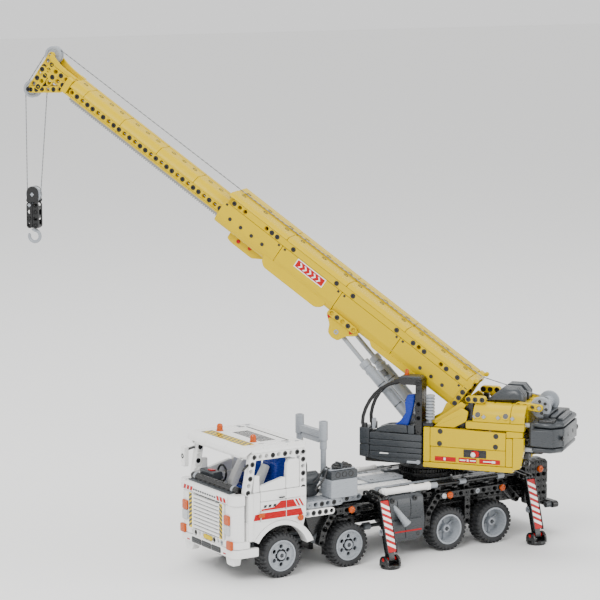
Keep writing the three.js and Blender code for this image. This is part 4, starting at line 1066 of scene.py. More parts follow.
# The bumper: a white bent bar with a black three-part slot, corner lamps and steps below.
bumper = defaultdict(list)
bar_line = [(-60.8, -52), (-57, -60), (-29, -60), (-29, -54), (-50, -54), (-54, -48), (-54, 48), (-50, 54),
            (-29, 54), (-29, 60), (-57, 60), (-60.8, 52)]
bumper["white"].append(plate(rounded(bar_line, 3, 3), 28, 37.6, "z", 0.7))
for side in (-1, 1):
    bumper["white"].append(plate(rounded([(-60, side * 34), (-60, side * 53), (-55, side * 59), (-40,
        side * 59), (-40, side * 52), (-52, side * 50), (-54, side * 34)], 2, 3), 38, 46, "z", 0.5))
    bumper["amber"].append(block((-62.6, -59), outward(side, 44.6, 55), (37.2, 47), "x", 0.6, 1))
    bumper["red"].append(block((-61.2, -60.6), outward(side, 36, 42), (30.6, 32), "x", 0.1, 0.4))
    step = rounded([(side * 34, 28.4), (side * 54, 28.4), (side * 51, 18.4), (side * 38, 18.4)], 1.5, 3)
    bumper["white"].append(plate(step, -57, -48, "x", 0.6))
    bumper["black"].append(rod((-44, side * 50, 33), "y", 2.2, 18))
    beam(bumper, "black", (-48, side * 20, 36), (-24, side * 20, 36), "obob")
for low, high in ((-31, -11.4), (-10, 10), (11.4, 31)):
    bumper["black"].append(block((-61.6, -60), (low, high), (29.6, 36), "x", 0.4, 0.8))
    for z in (31.4, 33.6):
        bumper["dark_grey"].append(block((-62, -61.4), (low + 1, high - 1), (z, z + 0.8), "x", 0.15, 0.2))
assemble(bumper, "front_bumper", "chassis", truck, ("front_bumper",))

# Mirrors: a black arm either side, with a white casing on the far one.
mirrors = defaultdict(list)
for side in (-1, 1):
    y = 57 if side > 0 else -57
    mirrors["black"].append(along([(-42, side * 57, 130), (-47, side * 60, 128), (-51, side * 62, 126)],
                                  1.5, 10))
    case = rounded([(side * 58.4, 108), (side * 66.4, 108), (side * 66.4, 131), (side * 58.4, 131)], 2, 3)
    if side > 0:
        mirrors["white"].append(plate(case, -54.6, -48.6, "x", 0.7))
        stud_row(mirrors, "black", [(-54.8, 62.4, 120)], across=(-1, 0, 0))
        mirrors["light_grey"].append(block((-48.7, -48.2), (59.6, 65.2), (110, 129), "x", 0.15, 0.8))
assemble(mirrors, "mirrors", "chassis", truck)

# ---- the slewing superstructure ------------------------------------------------------------------
# A black platform on the turntable, closed in by yellow panels pinned to its sides. Behind the
# boom's foot a yellow hood with a rounded shoulder hides the winch motor.
STOCK["yellow"] = (moulded_abs("yellow_abs_gloss", "#cfb000", 0.22, 0.04, 0.1), "yellow_abs")
platform = defaultdict(list)
platform["black"] += [rod((0, 0, 82), "z", 8, 20, 24), rod((0, 0, 92.8), "z", 29.6, 8.2, 48, 0.8)]
for v in (-36, -28, 28, 36):
    beam(platform, "black", (-112, v, 100.3), (58, v, 100.3), "ob-obo", across=(0, 0, 1), height=7.8)
    beam(platform, "black", (-112, v, 107.6), (-20, v, 107.6), "o-obob", width=6, height=6)
for u in (-104, -72, -40, -8, 24, 56):
    beam(platform, "black", (u, -24, 100.3), (u, 24, 100.3), "oboob", across=(1, 0, 0))
platform["dark_grey"].append(block((-100, -20), (-27, 27), (97, 103), "z", 0.5, 2))
for side in (-1, 1):
    for u in (-60, -52):
        beam(platform, "black", (u, side * 34, 108), (u, side * 34, 164), "obobobob", width=7.6)
    stud_row(platform, "light_grey", [(-56, side * 38.6, 160)], across=(0, side, 0))
    beam(platform, "black", (-24, side * 34, 146), (-48, side * 34, 146), "obob", width=6)
    beam(platform, "black", (-16, side * 25, 104), (-16, side * 25, 136), "obob", width=6)
platform["light_grey"].append(rod((-56, 0, 160), "y", 2.9, 74, 20))
platform["dark_grey"] += [block((-20, -6), (-11, 11), (103, 121), "y", 0.6, 4)]
platform["light_grey"].append(rod((-13, 0, 116), "y", 2.4, 54, 20))
platform["red"].append(block((-44, -26), (20, 33), (141, 146.5), "z", 0.5, 1))
assemble(platform, "slew_platform", "superstructure", upper, ("slew_platform",))

# Two folded flaps close the gap under the boom's foot.
flaps = defaultdict(list)
for side in (-1, 1):
    y0, y1 = outward(side, 36, 41)
    flap = [(-12, 145), (-19, 143.4), (-52, 158), (-58, 168), (-52, 172), (-34, 158)]
    flaps["yellow"].append(plate(rounded(flap, 1.2, 2), y0, y1, edge=0.6))
    wing = [(-22, 143.2), (-46, 143.2), (-60, 151), (-62, 162), (-54, 166), (-34, 154)]
    flaps["yellow"].append(plate(rounded(wing, 1.2, 2), *outward(side, 42, 46), edge=0.6))
assemble(flaps, "boom_foot_flaps", "superstructure", upper)

for corner, side in (("near", 1), ("far", -1)):
    panel = defaultdict(list)
    skin, low_skin, back = side * 49, side * 48, side * 40.6
    for outline, out in (
        ([(-11, 102.6), (-18.6, 102.6), (-18.6, 142.5), (-11, 142.5)], skin),
        ([(-19, 121), (-106.6, 121), (-106.6, 141), (-19, 142.5)], skin),
        ([(-19, 102.6), (-106.6, 102.6), (-106.6, 120.6), (-19, 120.6)], low_skin),
        ([(-11, 96.4), (-115.6, 96.4), (-115.6, 102.2), (-11, 102.2)], side * 49.6),
        ([(-107, 102.6), (-114.4, 102.6), (-114.4, 135), (-107, 135)], side * 48.6),
        ([(-114.8, 99), (-123, 101), (-127, 120), (-127.4, 136), (-114.8, 136)], side * 48.2),
        ([(-107, 135.4), (-126, 136.4), (-126, 142.8), (-107, 142.8)], side * 47.6),
    ):
        panel["yellow"].append(plate(rounded(outline, 0.7, 1), *sorted((back, out)), edge=0.5))
    for u, z in ((-30.8, 138.6), (-30.2, 124.6), (-95.6, 137), (-95.3, 124.8)):
        cup = [(0, 49.05), (1.3, 49.05), (1.3, 49.35), (2.6, 49.35), (3, 49.2), (3, 48.6), (0, 48.6)]
        panel["black"].append(turned([(r, side * h) for r, h in cup], (u, 0, z), "y", 20))
    socket = [(-58, 110.6), (-84.5, 110.6), (-84.5, 119.6), (-58, 119.6)]
    panel["black"].append(plate(rounded(socket, 0.8, 2), *outward(side, 47, 48.5), edge=0.3))
    panel["black"] += [rod((u, side * 48, 115), "y", 3.7, 1.6, 18) for u in (-62.4, -80)]
    panel["red"] += [rod((-71.4, side * 48, 115), "y", 3.9, 2.2, 18),
                     block((-76, -67), outward(side, 48, 49), (112, 118), "y", 0.3, 1)]
    ball = [(0, 0), (1.6, 0), (1.6, 1), (2.6, 2), (2.9, 3.2), (2.4, 4.6), (1.2, 5.6), (0, 5.9)]
    panel["white"].append(turned([(r, side * (48.6 + h)) for r, h in ball], (-70, 0, 114.6), "y", 24))
    for low, high in ((-49, -24.5), (-73, -52.5), (-100.5, -76.5)):
        panel["red"].append(plate([(low, 104.4), (high, 104.4), (high, 109.6), (low, 109.6)],
                                  *outward(side, 48.02, 48.22), edge=0.04))
    for u, span, rise in ((-36, 1.2, 3), (-57, 3.4, 1.4), (-63, 1, 2.4), (-69, 3.4, 1.4), (-86, 5, 1.2),
                          (-93, 2, 2.4)):
        mark = [(u - span, 107 - rise / 2), (u + span, 107 - rise / 2), (u + span, 107 + rise / 2),
                (u - span, 107 + rise / 2)]
        panel["white"].append(plate(mark, *outward(side, 48.24, 48.4), edge=0.04))
    for z in (106, 130):
        beam(panel, "black", (-128, side * 36, z), (-104, side * 36, z), "obob", width=6)
    assemble(panel, f"side_panel_{corner}", "superstructure", upper, (f"side_panel_{corner}",))

hood = defaultdict(list)
for side in (-1, 1):
    ledge = [(-60, 143.4), (-127.4, 143.4), (-127.4, 151.4), (-60, 151.4)]
    hood["yellow"].append(plate(rounded(ledge, 0.8, 1), *outward(side, 39, 47.4), edge=0.5))
    shoulder = [(side * (31 + 15 * math.cos(a)), 152 + 19 * math.sin(a))
                for a in [math.pi / 2 * k / 8 for k in range(9)]]
    shoulder += [(side * 29, 171), (side * 29, 168.6), (side * 36, 166), (side * 42.6, 158),
                 (side * 42.6, 151.8)]
    for low, high in ((-110.6, -67.4), (-127.2, -111)):
        hood["yellow"].append(plate(shoulder, low, high, "x", 0.5))
    for u in (-73.4, -105.6):
        lean = Vector((0, side, 0.42)).normalized()
        turn = Vector((0, 0, 1)).rotation_difference(lean).to_matrix().to_4x4()
        at = Matrix.Translation((u, side * 45.2, 159.6)) @ turn
        hood["black"].append(moved(turned([(0, -1), (3.2, -1), (3.2, 0.62), (0, 0.62)], axis="z", sides=18),
                                   at))
        hood["yellow"].append(moved(turned([(3.2, -1), (4.2, -1), (4.2, 0.8), (3.2, 0.8)], axis="z",
                                           sides=18), at))
    for u in (-70, -80.4, -97, -113.6):
        lean = Vector((0, side, 0.3)).normalized()
        turn = Vector((0, 1, 0)).rotation_difference(lean).to_matrix().to_4x4()
        at = Matrix.Translation((u, side * 45.4, 157.6)) @ turn
        hood["light_grey"].append(moved(axle_end(1, -3), at))
    for low, high in ((-88, -74.5), (-108, -89), (-127, -109)):
        hood["yellow"].append(block((low, high), outward(side, 8, 29), (167.6, 171.4), "z", 0.5, 0.8))
    beam(hood, "yellow", (-60, side * 33.4, 175), (-76, side * 33.4, 175), "bbb")
    beam(hood, "yellow", (-116, side * 27, 170), (-140, side * 27, 168), "ooog", width=5.6)
    stud_row(hood, "yellow", [(u, side * 20, 171.6) for u in (-112, -120)], across=(0, 0, 1))
    hood["black"].append(block((-66, -60), outward(side, 30, 38), (152, 171), "x", 0.5, 1))
hood["yellow"] += [block((-127, -124), (-28, 28), (144, 168), "x", 0.5, 1),
                   block((-127, -90), (-7.6, 7.6), (167, 170.4), "z", 0.5, 1)]
hood["light_grey"].append(rod((-140, 0, 168), "y", 1.9, 60, 16))
assemble(hood, "engine_cover", "superstructure", upper, ("engine_cover",))

# A dark grey cover bevelled on every side, split down the middle where the rope passes.
cover = defaultdict(list)
for side in (-1, 1):
    for v0, v1, bevel in ((4.2, 16, 0.4), (13, 26.5, 4.6)):
        profile = [(-76, 171.6), (-96, 188), (-113, 188), (-120, 180), (-120, 171.6)]
        cover["dark_grey"].append(plate(profile, *sorted((side * v0, side * v1)), edge=bevel))
assemble(cover, "winch_cover", "superstructure", upper, ("winch_cover",))

drum = defaultdict(list)
for side in (-1, 1):
    rim = [(2.6, 19), (11.2, 19), (12, 19.8), (12, 21.4), (11.2, 22), (9.6, 22), (9.2, 21.4), (4, 21.4),
           (3.6, 22.6), (2.6, 22.6)]
    drum["light_grey"].append(turned([(r, side * h) for r, h in rim], (-140, 0, 168), "y", 40))
    for k in range(6):
        a = math.radians(60 * k + 20)
        u, z = -140 + 6.7 * math.cos(a), 168 + 6.7 * math.sin(a)
        drum["black"].append(turned([(0, side * 21.2), (2, side * 21.2), (2, side * 21.7),
                                     (0, side * 21.7)], (u, 0, z), "y", 16))
        drum["light_grey"].append(turned([(2, side * 21), (2.7, side * 21), (2.7, side * 21.9),
                                          (2, side * 21.9)], (u, 0, z), "y", 16))
drum["light_grey"].append(turned([(2.6, -19.2), (6.5, -19.2), (6.5, 19.2), (2.6, 19.2)], (-140, 0, 168),
                                 "y", 28))
assemble(drum, "winch_drum", "winch_drum", upper, ("winch_drum",))

# ---- the counterweight ---------------------------------------------------------------------------
# Dark grey slabs with bevelled corners, pinned one over another behind the hood, with stepped
# tiles along the top.
weight = defaultdict(list)
ballast = [(-133, -30), (-137, -44), (-158, -45), (-170, -32), (-170, 32), (-158, 45), (-137, 44),
           (-133, 30)]
for low, high, grow in ((119.8, 126.4, -3), (126.8, 147.6, 0), (148, 154.6, -1)):
    outline = [(u + (0 if u > -135 else 0.4 * -grow), v * (1 + grow / 60)) for u, v in ballast]
    weight["dark_grey"].append(plate(outline, low, high, "z", 2 if grow else 0.7))
for side in (-1, 1):
    weight["dark_grey"].append(rod((-135.4, side * 38, 140), "z", 4, 26, 24))
    weight["light_grey"] += [rod((-130, side * 38, 150), "x", 2.6, 14, 18),
                             rod((-129, side * 38, 122), "x", 2.6, 12, 18)]
    weight["black"].append(block((-160, -141), outward(side, 26, 42), (153.6, 157.4), "z", 1, 3))
    weight["dark_grey"].append(block((-160, -134.4), outward(side, 44.6, 46.4), (128, 146), "y", 0.8, 2))
for u in (-166, -158, -150):
    weight["dark_grey"].append(block((u, u + 6.4), (-24, 24), (153.6, 158 + 1.5 * (u + 166) / 8), "z", 0.8,
                                     1))
for v in (-36, -12, 12, 36):
    stud_row(weight, "black", [(-170.2, v, 137)], across=(-1, 0, 0))
weight["yellow"] += [rod((-141, v, 153.8), "z", 1.8, 3, 14) for v in (-32, -20, 20, 32)]
weight["black"].append(block((-133, -116.6), (-20, 20), (122, 132), "x", 0.5, 1))
assemble(weight, "counterweight", "superstructure", upper, ("counterweight",))

# ---- the crane operator's cab --------------------------------------------------------------------
# A narrow dark grey body of stacked panels, a blue seat, and a black cage: two pillars, a roof
# and two bent hoops sweeping down to the nose.
crane_cab = defaultdict(list)
NEAR, INNER = 49, 29.3
for z0, z1, out in ((105, 110.4, 0.6), (110.8, 117, 0), (117.4, 124.4, 0.4), (124.8, 132.6, 0)):
    crane_cab["dark_grey"].append(block((-9, 53), (44, NEAR + out), (z0, z1), "y", 0.6, 0.8))
    crane_cab["dark_grey"].append(block((-9, 53), (INNER - out, 34), (z0, z1), "y", 0.6, 0.8))
for z0, z1 in ((104, 118), (118.4, 137.4)):
    crane_cab["dark_grey"].append(block((53.4, 65), (INNER, NEAR + 0.6), (z0, z1), "z", 0.6, 1))
crane_cab["dark_grey"] += [block((-8, 53), (34, 44), (104, 112), "y", 0.5, 1),
                           plate([(64, 103.6), (64, 108), (-8.6, 108), (-8.6, 98.4), (20, 98.4)], 31, 48,
                                 edge=0.8)]
nose = [(46, 133.4), (45, 137), (34, 141.4), (18, 142.8), (9, 142.6), (8, 133.4)]
crane_cab["dark_grey"] += [plate(rounded(nose, 2, 3), 40, 48.6, edge=1),
                           plate(rounded(nose, 2, 3), 29.6, 34, edge=1)]
crane_cab["dark_grey"].append(block((0, 8), (30, 48.4), (133, 143), "y", 0.6, 1))
crane_cab["light_grey"] += [block((47, 50.4), (41, 47.6), (136, 148), "x", 0.4, 0.6),
                            rod((-5, 48.4, 101), "y", 2.6, 3, 16),
                            rod((2, 49, 100.6), "x", 1.6, 12, 14)]
crane_cab["white"].append(plate([(30, 108.4), (41, 108.4), (40, 110), (30, 109.6)], 49.5, 49.8, edge=0.06))
for k in range(2):
    beam(crane_cab, "black", (8 + 24 * k, 30, 101), (24 + 24 * k, 30, 101), "obo", width=5)
assemble(crane_cab, "crane_cab_body", "superstructure", upper, ("crane_cab_body",))

cage = defaultdict(list)
for v in (45.2, 32):
    beam(cage, "black", (-5, v, 136), (-5, v, 192), "b-obo-bb", width=7)
    beam(cage, "black", (-5, v, 193), (14, v, 193), "b--o", width=7, height=7)
    hoop = [(60, v, 134), (62.4, v, 142), (61.6, v, 150), (58.6, v, 159), (54, v, 168), (48, v, 176),
            (40.4, v, 183),
            (31, v, 188.4), (22, v, 191.4), (12, v, 193)]
    if v < 40:
        hoop = [(u - 8 * max(0, (190 - z) / 60), w, z) for u, w, z in hoop]
    cage["black"].append(along(hoop, 2.1, 14))
    cage["black"].append(along([(24, v, 191.6), (15, v, 194.2), (4, v, 195.4)], 3.4, 14))
    cage["black"].append(rod((60 if v > 40 else 52, v, 138), "z", 3.6, 8, 18))
cage["black"] += [block((-9, 18), (35.6, 41.6), (189.6, 195.6), "y", 0.5, 1),
                  block((-9, 0), (30, 48.6), (195.8, 197.4), "z", 0.4, 1),
                  block((-9, -2), (36, 42), (134.4, 190), "y", 0.4, 0.6)]
cage["dark_grey"].append(plate(rounded([(-8, 195.8), (20, 195.8), (16, 199.4), (-6, 199.4)], 1, 2), 31, 47,
                               edge=0.8))
beacon = [(0, 0), (3, 0), (3, 1.2), (2.3, 1.5), (2.3, 5), (1.4, 6.6), (0, 6.8)]
cage["amber"].append(turned(beacon, (12, 38, 199.2), "z", 20))
assemble(cage, "crane_cab_frame", "superstructure", upper, ("crane_cab_frame",))

seat = defaultdict(list)
cushion = [(26, 134), (26, 141), (18, 147), (12, 156), (13, 168), (10, 177), (1, 178), (2, 166), (5, 154),
           (8, 144), (10, 134)]
seat["blue"].append(plate(rounded(cushion, 2, 3), 34.6, 43.6, edge=1.4))
seat["dark_grey"].append(block((6, 30), (34.4, 43.8), (112, 134), "y", 0.6, 1))
assemble(seat, "crane_cab_seat", "superstructure", upper)

# The ribbed grey cooler standing behind the cab's rear pillar.
cooler = defaultdict(list)
fins = [(0, 150)]
for k in range(8):
    fins += [(3.4, 150.4 + 3.6 * k), (5.2, 151 + 3.6 * k), (5.2, 153 + 3.6 * k), (3.4, 153.6 + 3.6 * k)]
fins.append((0, 179.4))
cooler["light_grey"] += [turned(fins, (-17, 42, 0), "z", 28), rod((-17, 42, 148), "z", 2.4, 12, 16)]
cooler["black"].append(block((-22, -9), (37, 47), (142.8, 146.6), "z", 0.5, 1))
assemble(cooler, "cooler", "superstructure", upper)

# ---- the lift cylinders --------------------------------------------------------------------------
# Two grey cylinders lift the boom. Each has a ribbed collar, a clevis at its foot and a bright
# rod ending in an eye under the boom.
LIFT_ANGLE = 0.8395
lift = upper @ Matrix.Translation((-13, 0, 116)) @ Matrix.Rotation(-LIFT_ANGLE, 4, "Y")
barrels, rods = defaultdict(list), defaultdict(list)
for side in (-1, 1):
    at = (0, side * 20, 0)
    tube = [(2.6, -4), (5.6, -4), (6.3, -2), (6.3, 8), (5.8, 8.6), (5.8, 108), (6.5, 108.6), (6.5, 112),
            (5.6, 112.6), (5.6, 116),
            (6.5, 116.6), (6.5, 123.4), (5.8, 124), (2.6, 124)]
    barrels["light_grey"].append(turned(tube, at, "x", 32))
    barrels["light_grey"].append(block((12, 106), sorted((side * 20 - 1.6, side * 20 + 1.6)), (5, 7.8), "y",
                                       0.5, 0.8))
    barrels["dark_grey"] += [turned([(5.6, s), (6.1, s), (6.1, s + 1), (5.6, s + 1)], at, "x", 28)
                             for s in (30, 60, 90)]
    bore = [(0, 52), (2.5, 52), (2.5, 164), (0, 164)]
    rods["light_grey"].append(turned(bore, at, "x", 20))
    rods["light_grey"].append(rod((169.4, side * 20, 0), "y", 4, 5, 24, 0.5))
    rods["light_grey"].append(block((162, 169), sorted((side * 20 - 2.2, side * 20 + 2.2)), (-2.6, 2.6),
                                    "y", 0.3, 0.6))
barrels["dark_grey"].append(block((96, 104), (-14, 14), (-3, 3), "x", 0.5, 1))
assemble(barrels, "lift_cylinders", "lift_cylinders", lift, ("lift_cylinders",))
assemble(rods, "lift_rods", "lift_rods", lift, ("lift_rods",))

# ---- the outer boom --------------------------------------------------------------------------
# A box of yellow beams, faced with smooth bent panels in four lengths that meet at thin seams.
# Shallow pockets along the upper edge show the pins that hold the panels to the beams.
BOOM_V = 28  # half the boom's width
SEAMS = (20, 110, 195.5, 283.5, 370)
PIN_ROW, LOW_ROW = 24, 5.8
PIN_STEPS = {"b": (0, 7, 8, 11, 19, 22, 30, 33, 35, 39, 41), "o": (1, 2, 6, 34, 38)}
outer = defaultdict(list)
row_letters = ["-"] * 44
for letter, steps in PIN_STEPS.items():
    for k in steps:
        row_letters[k] = letter
for side in (-1, 1):
    v = side * (BOOM_V - BEAM / 2 - 0.1)
    faces = (side,)
    beam(outer, "yellow", (359, v, PIN_ROW), (359 - 43 * MODULE, v, PIN_ROW), "".join(row_letters),
         faces=faces)
    for low, high in zip(SEAMS, SEAMS[1:]):
        s0, s1 = low + 0.25, high - 0.25
        roof = [(28, 28.3), (27.9, 29.4), (26, 31.6), (23.6, 32.5), (12, 32.6), (12, 30), (22, 28.3)]
        wall = [(28, 19.7), (28, 2.5), (27.2, 0.6), (26, -3.6), (24.6, -6.6), (22, -8.4), (18, -8.9),
                (18, -6.4),
                (21.6, -5.8), (23.4, -3), (24.8, 1.2), (25.4, 3), (25.4, 19.7)]
        for section in (roof, wall):
            outer["yellow"].append(plate([(side * a, b) for a, b in section], s0, s1, "x", 0.45))
        for at_end in (s0 + 4.2, s1 - 4.2):
            notch = [(at_end - 1.4, 16.4), (at_end + 1.4, 16.4), (at_end + 1.4, 19.2), (at_end - 1.4, 19.2)]
            outer["black"].append(plate(notch, *outward(side, 27.6, 28.12), edge=0.1))
    for s in (353, 337, 321, 305, 72, 56, 40):
        ring = turned([(2.4, side * 26.2), (2.4, side * 28.05), (3.5, side * 28.25), (3.9, side * 27.9),
                       (3.9, side * 26.2)], (s, 0, LOW_ROW), sides=20)
        outer["yellow"].append(ring)
        outer["black"].append(turned([(0, side * 26.6), (2.35, side * 26.6), (2.35, side * 28.1),
                                      (0, side * 28.1)], (s, 0, LOW_ROW), sides=16))
    for low, high, top, bottom in ((204, 298, -2, -15.6), (61, 141, -4, -11.5)):
        apron = rounded([(low, top), (high, top), (high - 3, bottom + 5), (high - 9, bottom),
                         (low + 9, bottom), (low + 2, bottom + 5)], 3, 3)
        outer["yellow"].append(plate(apron, *outward(side, 21.6, 26.6), edge=0.7))
    beam(outer, "yellow", (16.3, v, -2), (16.3, v, 22), "bbbb", faces=faces)
    cap = rounded([(12, 26.2), (20, 26.2), (20, 32.4), (12.6, 32.4)], 1.5, 2)
    outer["yellow"].append(plate(cap, *outward(side, 18, 27.8), edge=0.4))
    outer["yellow"].append(rod((11.5, side * 22.5, 33.4), "y", 2.6, 4, 16))
    beak = rounded([(24, -6), (9, -5.4), (7, 4), (0, 9), (-6.5, 8.6), (-8.5, 0), (-6, -8), (2, -15),
                    (10, -26), (24, -33.5), (27, -30), (22, -20), (24, -10)], 3, 3)
    outer["yellow"].append(plate(beak, *outward(side, 23.2, 27.4), edge=0.6))
    outer["red"].append(plate(rounded([(6, -24), (24, -36.5), (20, -38.5), (8, -31)], 1, 2),
                              *outward(side, 22.8, 27), edge=0.4))
    # the bracket for the lift rods
    cheek = rounded([(153, -6), (197, -6), (197, -12), (187, -20), (183, -29), (176, -31.5), (168, -30),
                     (163, -20), (153, -12)], 2.5, 3)
    outer["yellow"].append(plate(cheek, *outward(side, 24.4, 27.4), edge=0.5))
    beam(outer, "yellow", (159.4, side * 28.4, -7.4), (191.4, side * 28.4, -7.4), "obobo", width=3.4,
         faces=faces)
    stud_row(outer, "red", [(192.4, side * 27.6, -12.6), (160.8, side * 27.6, -12.6)], across=(0, side, 0),
             shape=axle_end)
    stud_row(outer, "light_grey", [(175, side * 28, -22.5)], across=(0, side, 0))
    stud_row(outer, "black", [(0, side * 27.6, 0)], across=(0, side, 0))
    outer["black"].append(rod((0, side * 25.4, 0), "y", 4.4, 5))
    gear_cheek = rounded([(298, -8), (348, -8), (348, -20), (341, -21.8), (310, -21.8), (298, -14)], 2, 2)
    outer["yellow"].append(plate(gear_cheek, *outward(side, 6.2, 9.8), edge=0.4))
    for s, w, r in ((318, -13, 1.5), (334, -15, 1.5)):
        outer["red"].append(rod((s, side * 10, w), "y", r + 0.9, 2))
for s0, s1 in zip(SEAMS, SEAMS[1:]):
    for low, high in ((-12, -4.2), (-4, 4), (4.2, 12)):
        level = 32.5 if low != -4 else 31
        outer["yellow"].append(block((s0 + 0.25, s1 - 0.25), (low, high), (28.6, level), "z", 0.4, 1))
    for s in range(int(s0) + 12, int(s1) - 8, 32):
        outer["black"].append(turned([(0, 32), (2.2, 32), (2.2, 32.9), (2.9, 32.9), (2.9, 32.3),
                                      (3.2, 31.6), (0, 31.6)], (s, 8, 0), "z", 14))
        outer["black"].append(turned([(0, 32), (2.2, 32), (2.2, 32.9), (2.9, 32.9), (2.9, 32.3),
                                      (3.2, 31.6), (0, 31.6)], (s, -8, 0), "z", 14))
    for side in (-1, 1):
        outer["yellow"].append(block((s0 + 0.25, s1 - 0.25), outward(side, 17.9, 5.6), (-9, -5.8), "z", 0.4,
                                     1))
for side in (-1, 1):
    beam(outer, "yellow", (366, side * 14, 24), (366, side * 14, -2), "oboo", across=(1, 0, 0), width=6)
outer["yellow"].append(block((362, 370), (-20, 20), (27.5, 31.8), "x", 0.4, 1))
outer["yellow"].append(block((12, 20), (-24, 24), (27.5, 31.8), "x", 0.4, 1))
outer["light_grey"].append(turned([(1.6, -4.6), (4.4, -4.6), (4.4, 4.6), (1.6, 4.6)], (334, 0, -15),
                                  sides=20))
for k in range(12):
    tooth = [(-0.8, 4), (0.8, 4), (0.4, 5.9), (-0.4, 5.9)]
    turn = Matrix.Translation((334, 0, -15)) @ Matrix.Rotation(2 * math.pi * k / 12, 4, "Y")
    outer["light_grey"].append(moved(plate(tooth, -4, 4, edge=0.15), turn))
assemble(outer, "outer_boom", "outer_boom", boom, ("outer_boom",))

# A glossy film label: red field in a white border, with a row of plain chevrons.
label = defaultdict(list)
for side in (-1, 1):
    def film(kit, finish, s0, s1, w0, w1, level):
        kit[finish].append(plate([(s0, w0), (s1, w0), (s1, w1), (s0, w1)],
                                 *sorted((side * level, side * (level + 0.12))), edge=0.03))
    film(label, "white", 218.5, 260, 8.6, 19.4, 28.0)
    film(label, "red", 219.6, 258.9, 9.7, 18.3, 28.12)
    for k in range(5):
        s = 224 + 6.6 * k
        for up in (-1, 1):
            bar = [(s, 14), (s + 2.2, 14), (s + 5, 14 + up * 3), (s + 2.8, 14 + up * 3)]
            label["white"].append(plate(bar, *outward(side, 28.24, 28.34), edge=0.02))
assemble(label, "boom_label", "outer_boom", boom)

# ---- the inner boom --------------------------------------------------------------------------
# A slimmer yellow box that slides in the outer one: a beam with holes down each flank, bevelled
# covers on top, and underneath the light grey toothed rack that the pinion drives.
INNER_START, INNER_END = 300, 605
HOLE_ROW = 6
inner = defaultdict(list)
flank = "bobbobobbo"
for side in (-1, 1):
    v = side * (20 - BEAM / 2)
    beam(inner, "yellow", (307.2, v, HOLE_ROW), (599.2, v, HOLE_ROW), flank, faces=(side,))
    for k, s0 in enumerate(range(304, 600, 56)):
        s1 = min(s0 + 56, INNER_END)
        cover = [(20, 10.1), (20, 12.4), (15.4, 18.2), (13.6, 19), (8, 19), (8, 16), (16.5, 10.1)]
        inner["yellow"].append(plate([(side * a, b) for a, b in cover], s0 + 0.2, s1 - 0.2, "x", 0.4))
        sill = [(20, 1.9), (20, 0.4), (18.4, -0.9), (5.2, -1), (5.2, 1.9)]
        inner["yellow"].append(plate([(side * a, b) for a, b in sill], s0 + 0.2, s1 - 0.2, "x", 0.3))
for s0 in range(304, 600, 56):
    s1 = min(s0 + 56, INNER_END)
    inner["yellow"].append(block((s0 + 0.2, s1 - 0.2), (-7.8, 7.8), (15.4, 18.6), "z", 0.4, 1))
    for s in range(s0 + 12, s1 - 6, 16):
        inner["black"].append(turned([(0, 18), (2.2, 18), (2.2, 18.9), (2.9, 18.9), (2.9, 17.6), (0, 17.6)],
                                     (s, 0, 0), "z", 14))
for s in (INNER_START + 3, INNER_END - 3):
    beam(inner, "yellow", (s, -8, 6), (s, 8, 6), "obo", across=(1, 0, 0), width=5.6)
assemble(inner, "inner_boom", "inner_boom", boom, ("inner_boom",))

# ---- the boom head ---------------------------------------------------------------------------
# Upright beams square to the boom carry a pulley at each end. A curved panel and a slanting
# beam brace them against the boom, and a second pair of short beams fills the corner.
head = defaultdict(list)
for side in (-1, 1):
    v = side * 7
    beam(head, "yellow", (HEAD, v, UPPER_PULLEY), (HEAD, v, LOWER_PULLEY), "oobobog", width=3.9)
    beam(head, "yellow", (HEAD - 8.2, v + side * 4, 16), (HEAD - 8.2, v + side * 4, -16), "bobob", width=4)
    beam(head, "yellow", (HEAD - 17, v + side * 4, 12), (HEAD - 17, v + side * 4, -4), "obo", width=4)
    beam(head, "yellow", (HEAD - 41, v + side * 2, 4), (HEAD - 1, v + side * 2, 4), "obobob", width=7.6)
    beam(head, "yellow", (HEAD - 41, v + side * 2, 12), (HEAD - 9, v + side * 2, 12), "bobob", width=7.6)
    beam(head, "yellow", (HEAD - 32, v + side * 3, -3), (HEAD - 2, v + side * 3, -25), "oboob", width=4)
    sweep = [(HEAD - 42, 16), (HEAD - 42, 20)] + [(HEAD - 34 + 34 * k / 8, 20.4 + 6.6 * (k / 8) ** 2)
                                                  for k in range(9)]
    sweep += [(HEAD, 22), (HEAD - 8, 16.4)]
    head["yellow"].append(plate(sweep, *outward(side, 9.3, 12.6), edge=0.5))
    stud_row(head, "black", [(HEAD, side * 9, LOWER_PULLEY)], across=(0, side, 0))
    stud_row(head, "light_grey", [(HEAD, side * 9.2, UPPER_PULLEY)], across=(0, side, 0), shape=axle_end)
    head["yellow"].append(block((605.4, 613), outward(side, 20, 9), (-1, 18.8), "x", 0.4, 1.6))
    stud_row(head, "black", [(613, side * 15, 13), (613, side * 15, 5)], across=(1, 0, 0))
head["black"] += [rod((HEAD, 0, UPPER_PULLEY), "y", 2.2, 19), rod((HEAD, 0, LOWER_PULLEY), "y", 2.2, 25)]
head["yellow"].append(block((606, HEAD - 14), (-5.2, 5.2), (2, 14), "x", 0.4, 1))
assemble(head, "boom_head", "inner_boom", boom, ("boom_head",))


